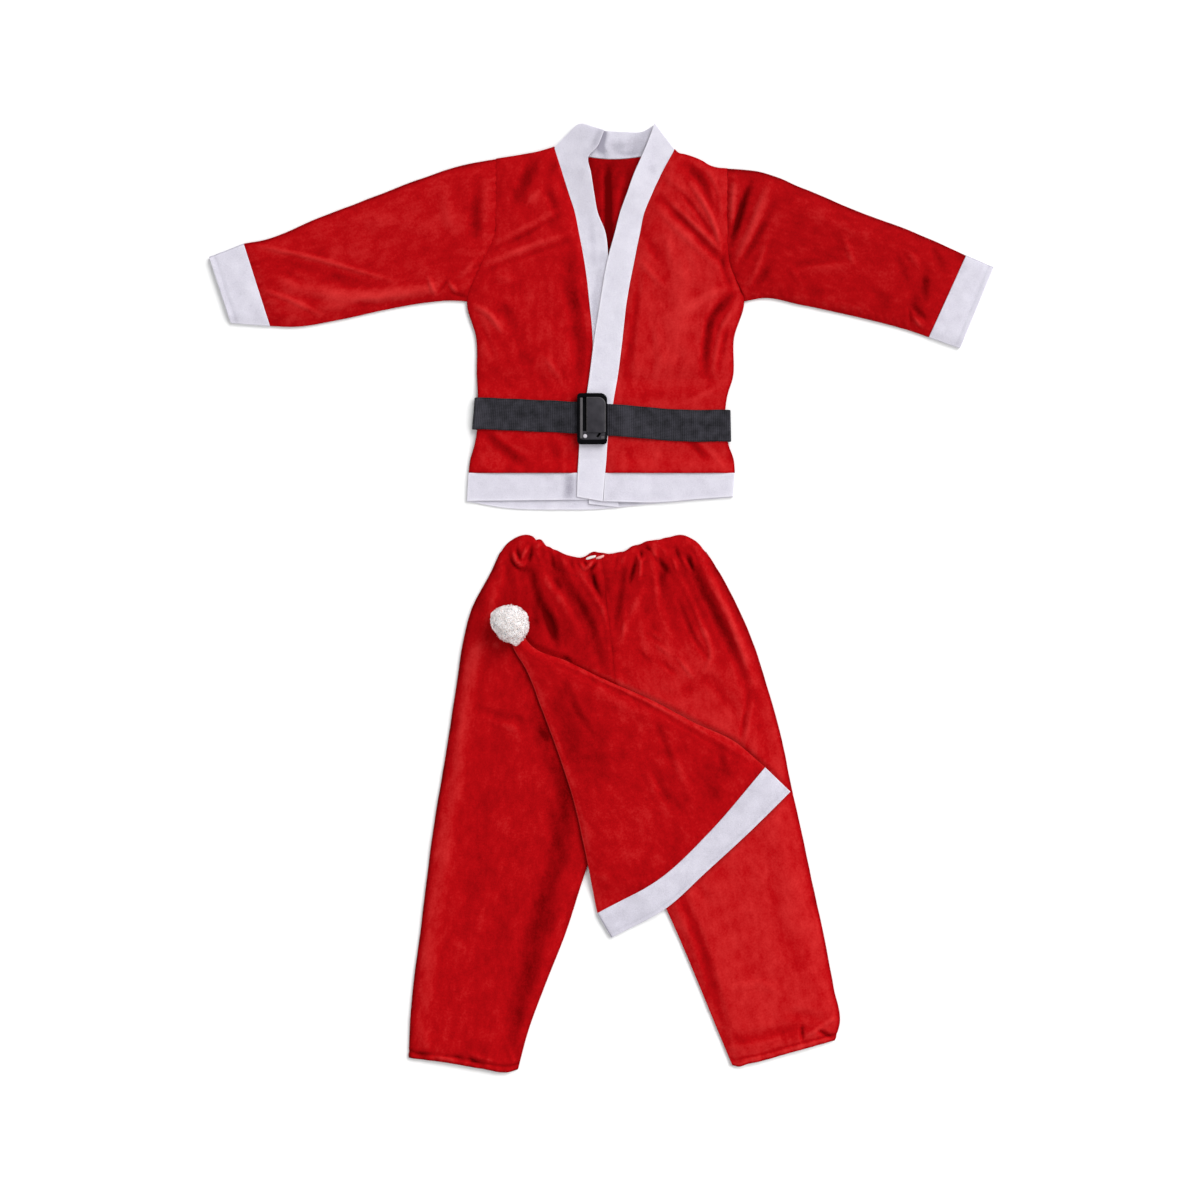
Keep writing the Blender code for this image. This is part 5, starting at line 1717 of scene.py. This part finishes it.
buckle = {
    "centre": (-10, 214.4),
    "width": 36,
    "length": 61.2,
    "bottom": 7.7,
    "top": 13.2,
    "corners": (4.0, 8.0, 4.5),  # top left, top right and both lower ones
    "tunnel": 20.3,  # half the opening for the strap
    "strapTop": 9.6,
    "pocket": 10.5,  # how high its floor lies
    "pocketCorners": (1.6, 6.4, 2.4),
    "railTop": 4.7,
    "railFoot": 5.4,
    "bar": 3.4,
    "barRight": 1.8,
    "ribWidth": 3.2,
    "slot": 4.8,
    "ribEnds": (1.5, 0.8),  # its gaps to the pocket's ends
    "ribTop": 0.3,  # each part's top above or below the frame's
    "rimTop": -0.3,
    "leverTop": 0.2,
    "footTop": -1.1,
    "leverFoot": -16.0,
    "leverCorner": 9,
    "leverInset": (0.7, 0.6),  # from its rim, at the left and at the top
    "leverPast": 0.8,
    "leverToe": 3.0,
    "footUnder": 1.2,
    "footInset": 0.6,
    "lip": 1.0,
    "footCorners": (1.0, 1.0, 2.0),
    "edges": {  # how far each part's moulded edges are rounded
        "buckleFrame": 0.45,
        "buckleRib": 0.8,
        "leverRim": 0.3,
        "buckleLever": 0.6,
        "buckleFoot": 0.35,
        "buckleStud": 0.5,
        "bucklePin": 0.8,
    },
    "sunk": 0.4,  # how far the parts in the pocket reach below its floor
    "past": 8,  # how far a cutter reaches past what it cuts
    "pin": (-8.4, -20.9, 2.4),
    "pinDepth": 2.2,
    "pinTop": -0.5,
    "notch": (7.8, -19.4),
    "notchHalf": (1.5, 3.4),
    "notchTurn": -38,
    "stud": ((10.4, -24.2, -1.6), (14.6, -20.8, -0.4)),  # its corners from the frame's middle and top
}


def toMetres(point):
    return Vector((point[0] - suit["middle"][0], point[1] - suit["middle"][1], point[2])) * suit["mm"]


def newPart(name, material):
    # names the primitive just added, and leaves its place in its mesh
    part = bpy.context.object
    part.name = part.data.name = name
    bpy.ops.object.transform_apply(location=True, rotation=True, scale=True)
    part.data.materials.append(material)
    return part


def blockAt(name, low, high, material):
    bpy.ops.object.select_all(action="DESELECT")
    low, high = toMetres(low), toMetres(high)
    bpy.ops.mesh.primitive_cube_add(size=1, location=(low + high) / 2)
    bpy.context.object.scale = high - low
    return newPart(name, material)


def bevelUprights(block, pick, width, segments):
    # bevels the upright edges whose place in mm passes pick
    bpy.context.view_layer.objects.active = block
    bpy.ops.object.mode_set(mode="EDIT")
    bpy.ops.mesh.select_mode(type="EDGE")
    bpy.ops.mesh.select_all(action="DESELECT")
    mesh = bmesh.from_edit_mesh(block.data)
    middle = Vector((*suit["middle"], 0))
    for edge in mesh.edges:
        a, b = (vert.co / suit["mm"] + middle for vert in edge.verts)
        upright = abs(a.x - b.x) < 0.01 and abs(a.y - b.y) < 0.01
        edge.select_set(upright and pick(a))
    bmesh.update_edit_mesh(block.data)
    bpy.ops.mesh.bevel(offset=width * suit["mm"], segments=segments, affect="EDGES")
    bpy.ops.object.mode_set(mode="OBJECT")


def modify(block, kind, **settings):
    bpy.ops.object.select_all(action="DESELECT")
    block.select_set(True)
    bpy.context.view_layer.objects.active = block
    modifier = block.modifiers.new("shape", kind)
    for key, value in settings.items():
        setattr(modifier, key, value)
    bpy.ops.object.modifier_apply(modifier=modifier.name)


def cutOut(block, cutter):
    modify(block, "BOOLEAN", operation="DIFFERENCE", object=cutter)
    bpy.data.objects.remove(cutter, do_unlink=True)


def softEdges(block):
    width = buckle["edges"][block.name] * suit["mm"]
    sharp = math.radians(35)
    modify(block, "BEVEL", width=width, segments=3, limit_method="ANGLE", angle_limit=sharp)
    bpy.ops.object.shade_smooth_by_angle(angle=math.radians(40))


def cornered(block, radii, x, y):
    topLeft, topRight, foot = radii
    bevelUprights(block, lambda at: at.x < x and at.y > y, topLeft, 6)
    bevelUprights(block, lambda at: at.x > x and at.y > y, topRight, 8)
    bevelUprights(block, lambda at: at.y < y, foot, 6)


def makeBuckle():
    x, y = buckle["centre"]
    left, right = x - buckle["width"] / 2, x + buckle["width"] / 2
    half = buckle["length"] / 2
    bottom, top, pocket, past = (buckle[key] for key in ("bottom", "top", "pocket", "past"))
    high = y + half - buckle["railTop"]
    low = y - half + buckle["railFoot"]
    wallRight = right - buckle["barRight"]
    ribStart = left + buckle["bar"]
    slotStart = ribStart + buckle["ribWidth"]
    leverStart = slotStart + buckle["slot"]
    leverFoot = y + buckle["leverFoot"]
    lip = buckle["lip"]
    sunk = pocket - buckle["sunk"]

    body = blockAt("buckleFrame", (left, y - half, bottom), (right, y + half, top), frameGloss)
    cornered(body, buckle["corners"], x, y)
    start = (left - past, y - buckle["tunnel"], bottom - past)
    end = (right + past, y + buckle["tunnel"], buckle["strapTop"])
    cutOut(body, blockAt("tunnel", start, end, frameGloss))
    window = blockAt("pocket", (ribStart, low, pocket), (wallRight, high, top + past), frameGloss)
    cornered(window, buckle["pocketCorners"], x, y)
    cutOut(body, window)
    softEdges(body)
    place(body, "black_plastic", "buckle_frame")

    ribLow, ribHigh = buckle["ribEnds"]
    start = (ribStart, low + ribLow, sunk)
    rib = blockAt("buckleRib", start, (slotStart, high - ribHigh, top + buckle["ribTop"]), ribSatinAndHighlight)
    softEdges(rib)
    place(rib, "black_plastic")

    # the rim round the lever is painted lighter for the highlight along the lever's edges
    start = (leverStart, leverFoot, sunk)
    rim = blockAt("leverRim", start, (wallRight, high, top + buckle["rimTop"]), ribSatinAndHighlight)
    bevelUprights(rim, lambda at: at.x > x and at.y > y, buckle["leverCorner"], 8)
    softEdges(rim)
    place(rim, "grey_plastic")
    atLeft, atTop = buckle["leverInset"]
    start = (leverStart + atLeft, leverFoot - buckle["leverPast"], pocket)
    end = (wallRight - lip, high - atTop, top + buckle["leverTop"])
    lever = blockAt("buckleLever", start, end, leverSatin)
    bevelUprights(lever, lambda at: at.x > x and at.y > y, buckle["leverCorner"] - lip, 8)
    bevelUprights(lever, lambda at: at.x > x and at.y < y, buckle["leverToe"], 4)
    softEdges(lever)
    place(lever, "grey_plastic", "buckle_lever")

    start = (ribStart + buckle["footInset"], low, sunk)
    end = (wallRight, leverFoot + buckle["footUnder"], top + buckle["footTop"])
    foot = blockAt("buckleFoot", start, end, leverSatin)
    cornered(foot, buckle["footCorners"], x, y - 20)
    notchX, notchY = x + buckle["notch"][0], y + buckle["notch"][1]
    wide, long = buckle["notchHalf"]
    start = (notchX - wide, notchY - long, pocket)
    notch = blockAt("notch", start, (notchX + wide, notchY + long, top + past), frameGloss)
    about = Matrix.Translation(toMetres((notchX, notchY, top)))
    turn = Matrix.Rotation(math.radians(buckle["notchTurn"]), 4, "Z")
    notch.data.transform(about @ turn @ about.inverted())
    cutOut(foot, notch)
    softEdges(foot)
    place(foot, "grey_plastic")

    # the stud is a light patch, partly painted highlight
    start, end = (np.array(corner) + (x, y, top) for corner in buckle["stud"])
    stud = blockAt("buckleStud", start, end, ribSatinAndHighlight)
    softEdges(stud)
    place(stud, "grey_plastic")

    pinX, pinY, radius = np.array(buckle["pin"]) + (x, y, 0)
    bpy.ops.object.select_all(action="DESELECT")
    size = {"vertices": 24, "radius": radius * suit["mm"], "depth": buckle["pinDepth"] * suit["mm"]}
    bpy.ops.mesh.primitive_cylinder_add(location=toMetres((pinX, pinY, top + buckle["pinTop"])), **size)
    pin = newPart("bucklePin", pinSteel)
    softEdges(pin)
    place(pin, "grey_plastic")


makeBuckle()
print("buckle made")


# each cloth piece's cut as it shows, all round on a folded one: its width and length, and its area, in
# metres, how it is held, and what it lies on
cuts = [
    (jacketBack, (0.333, 0.386), 0.1153, "laid", []),
    (frontRight, (0.150, 0.392), 0.0482, "laid", [jacketBack]),
    (frontLeft, (0.157, 0.387), 0.0481, "laid", [jacketBack]),
    (band["frontBandRight"], (0.072, 0.455), 0.0157, "laid", [jacketBack]),
    (band["frontBandLeft"], (0.039, 0.449), 0.0145, "laid", [band["frontBandRight"]]),
    (band["neckBand"], (0.038, 0.125), 0.0041, "laid", []),
    (band["hemBandBack"], (0.321, 0.045), 0.0123, "laid", []),
    (band["hemBandRight"], (0.147, 0.035), 0.0047, "laid", [band["hemBandBack"]]),
    (band["hemBandLeft"], (0.157, 0.036), 0.0051, "laid", [band["hemBandBack"]]),
    (sleeveRight, (0.360, 0.290), 0.0794, "folded", []),
    (sleeveLeft, (0.330, 0.278), 0.0720, "folded", []),
    (cuffRight, (0.208, 0.045), 0.0083, "folded", []),
    (cuffLeft, (0.216, 0.040), 0.0079, "folded", []),
    (beltStrap, (0.0374, 0.625), 0.0233, "folded", [frontRight, frontLeft]),
    (legRight, (0.424, 0.640), 0.2280, "gathered", []),
    (legLeft, (0.420, 0.640), 0.2270, "gathered", []),
    (hatBody, (0.542, 0.340), 0.0935, "folded", [legRight, legLeft]),
    (hatBand, (0.558, 0.036), 0.0186, "folded", [legRight, legLeft]),
]
for piece, flat, area, held, under in cuts:
    seams = [piece.name + seam + "Stitches" for seam in ("Casing", "Hem")]
    sewnOn = [bpy.data.objects[seam] for seam in seams if seam in bpy.data.objects]
    if piece == legRight:
        sewnOn += strands


room = {
    "floorZ": -0.0005,
    "floorSize": 80.0,
    "cameraAt": (-0.0016, -0.0028, 3.2),
    "sensor": 36.0,
    "lens": 80.0,
    "world": 0.38,
    "sun": 3.4,
    "sunHeight": 36,
    "sunFrom": 48,  # degrees from +X towards +Y
    "sunSpread": 45,
    "sideLamp": ((2.2, -0.2, 1.6), 1.4, 22.0),  # place, size, power
    "fillLamp": ((-1.9, -1.5, 1.8), 2.4, 30.0),
}
bpy.ops.object.select_all(action="DESELECT")
bpy.ops.mesh.primitive_plane_add(size=room["floorSize"], location=(0, 0, room["floorZ"]))
floor = bpy.context.object
floor.name = "studioFloor"
paper = {"Base Color": (0.9, 0.9, 0.9, 1), "Roughness": 0.9, "Specular IOR Level": 0.1}
floor.data.materials.append(newMaterial("studioWhite", paper)[0])

world = bpy.data.worlds.new("softStudio")
world.use_nodes = True
background = world.node_tree.nodes["Background"].inputs
background["Color"].default_value = (1, 1, 1, 1)
background["Strength"].default_value = room["world"]
bpy.context.scene.world = world


def addLamp(name, kind, at, energy):
    lamp = bpy.data.lights.new(name, kind)
    lamp.energy = energy
    holder = bpy.data.objects.new(name, lamp)
    holder.location = at
    holder.rotation_euler = (-Vector(at)).to_track_quat("-Z", "Y").to_euler()
    bpy.context.scene.collection.objects.link(holder)
    return lamp


sunAt = Vector((3, 0, 0))
sunAt.rotate(Euler((0, -math.radians(room["sunHeight"]), math.radians(room["sunFrom"]))))
addLamp("keyLight", "SUN", sunAt, room["sun"]).angle = math.radians(room["sunSpread"])
for key in ("sideLamp", "fillLamp"):
    lampAt, lampSize, lampPower = room[key]
    addLamp(key, "AREA", lampAt, lampPower).size = lampSize

camera = bpy.data.cameras.new("overhead")
camera.sensor_width = room["sensor"]
camera.sensor_height = room["sensor"]
camera.lens = room["lens"]
holder = bpy.data.objects.new("overhead", camera)
holder.location = room["cameraAt"]
bpy.context.scene.collection.objects.link(holder)
bpy.context.scene.camera = holder
bpy.context.scene.view_settings.view_transform = "Standard"
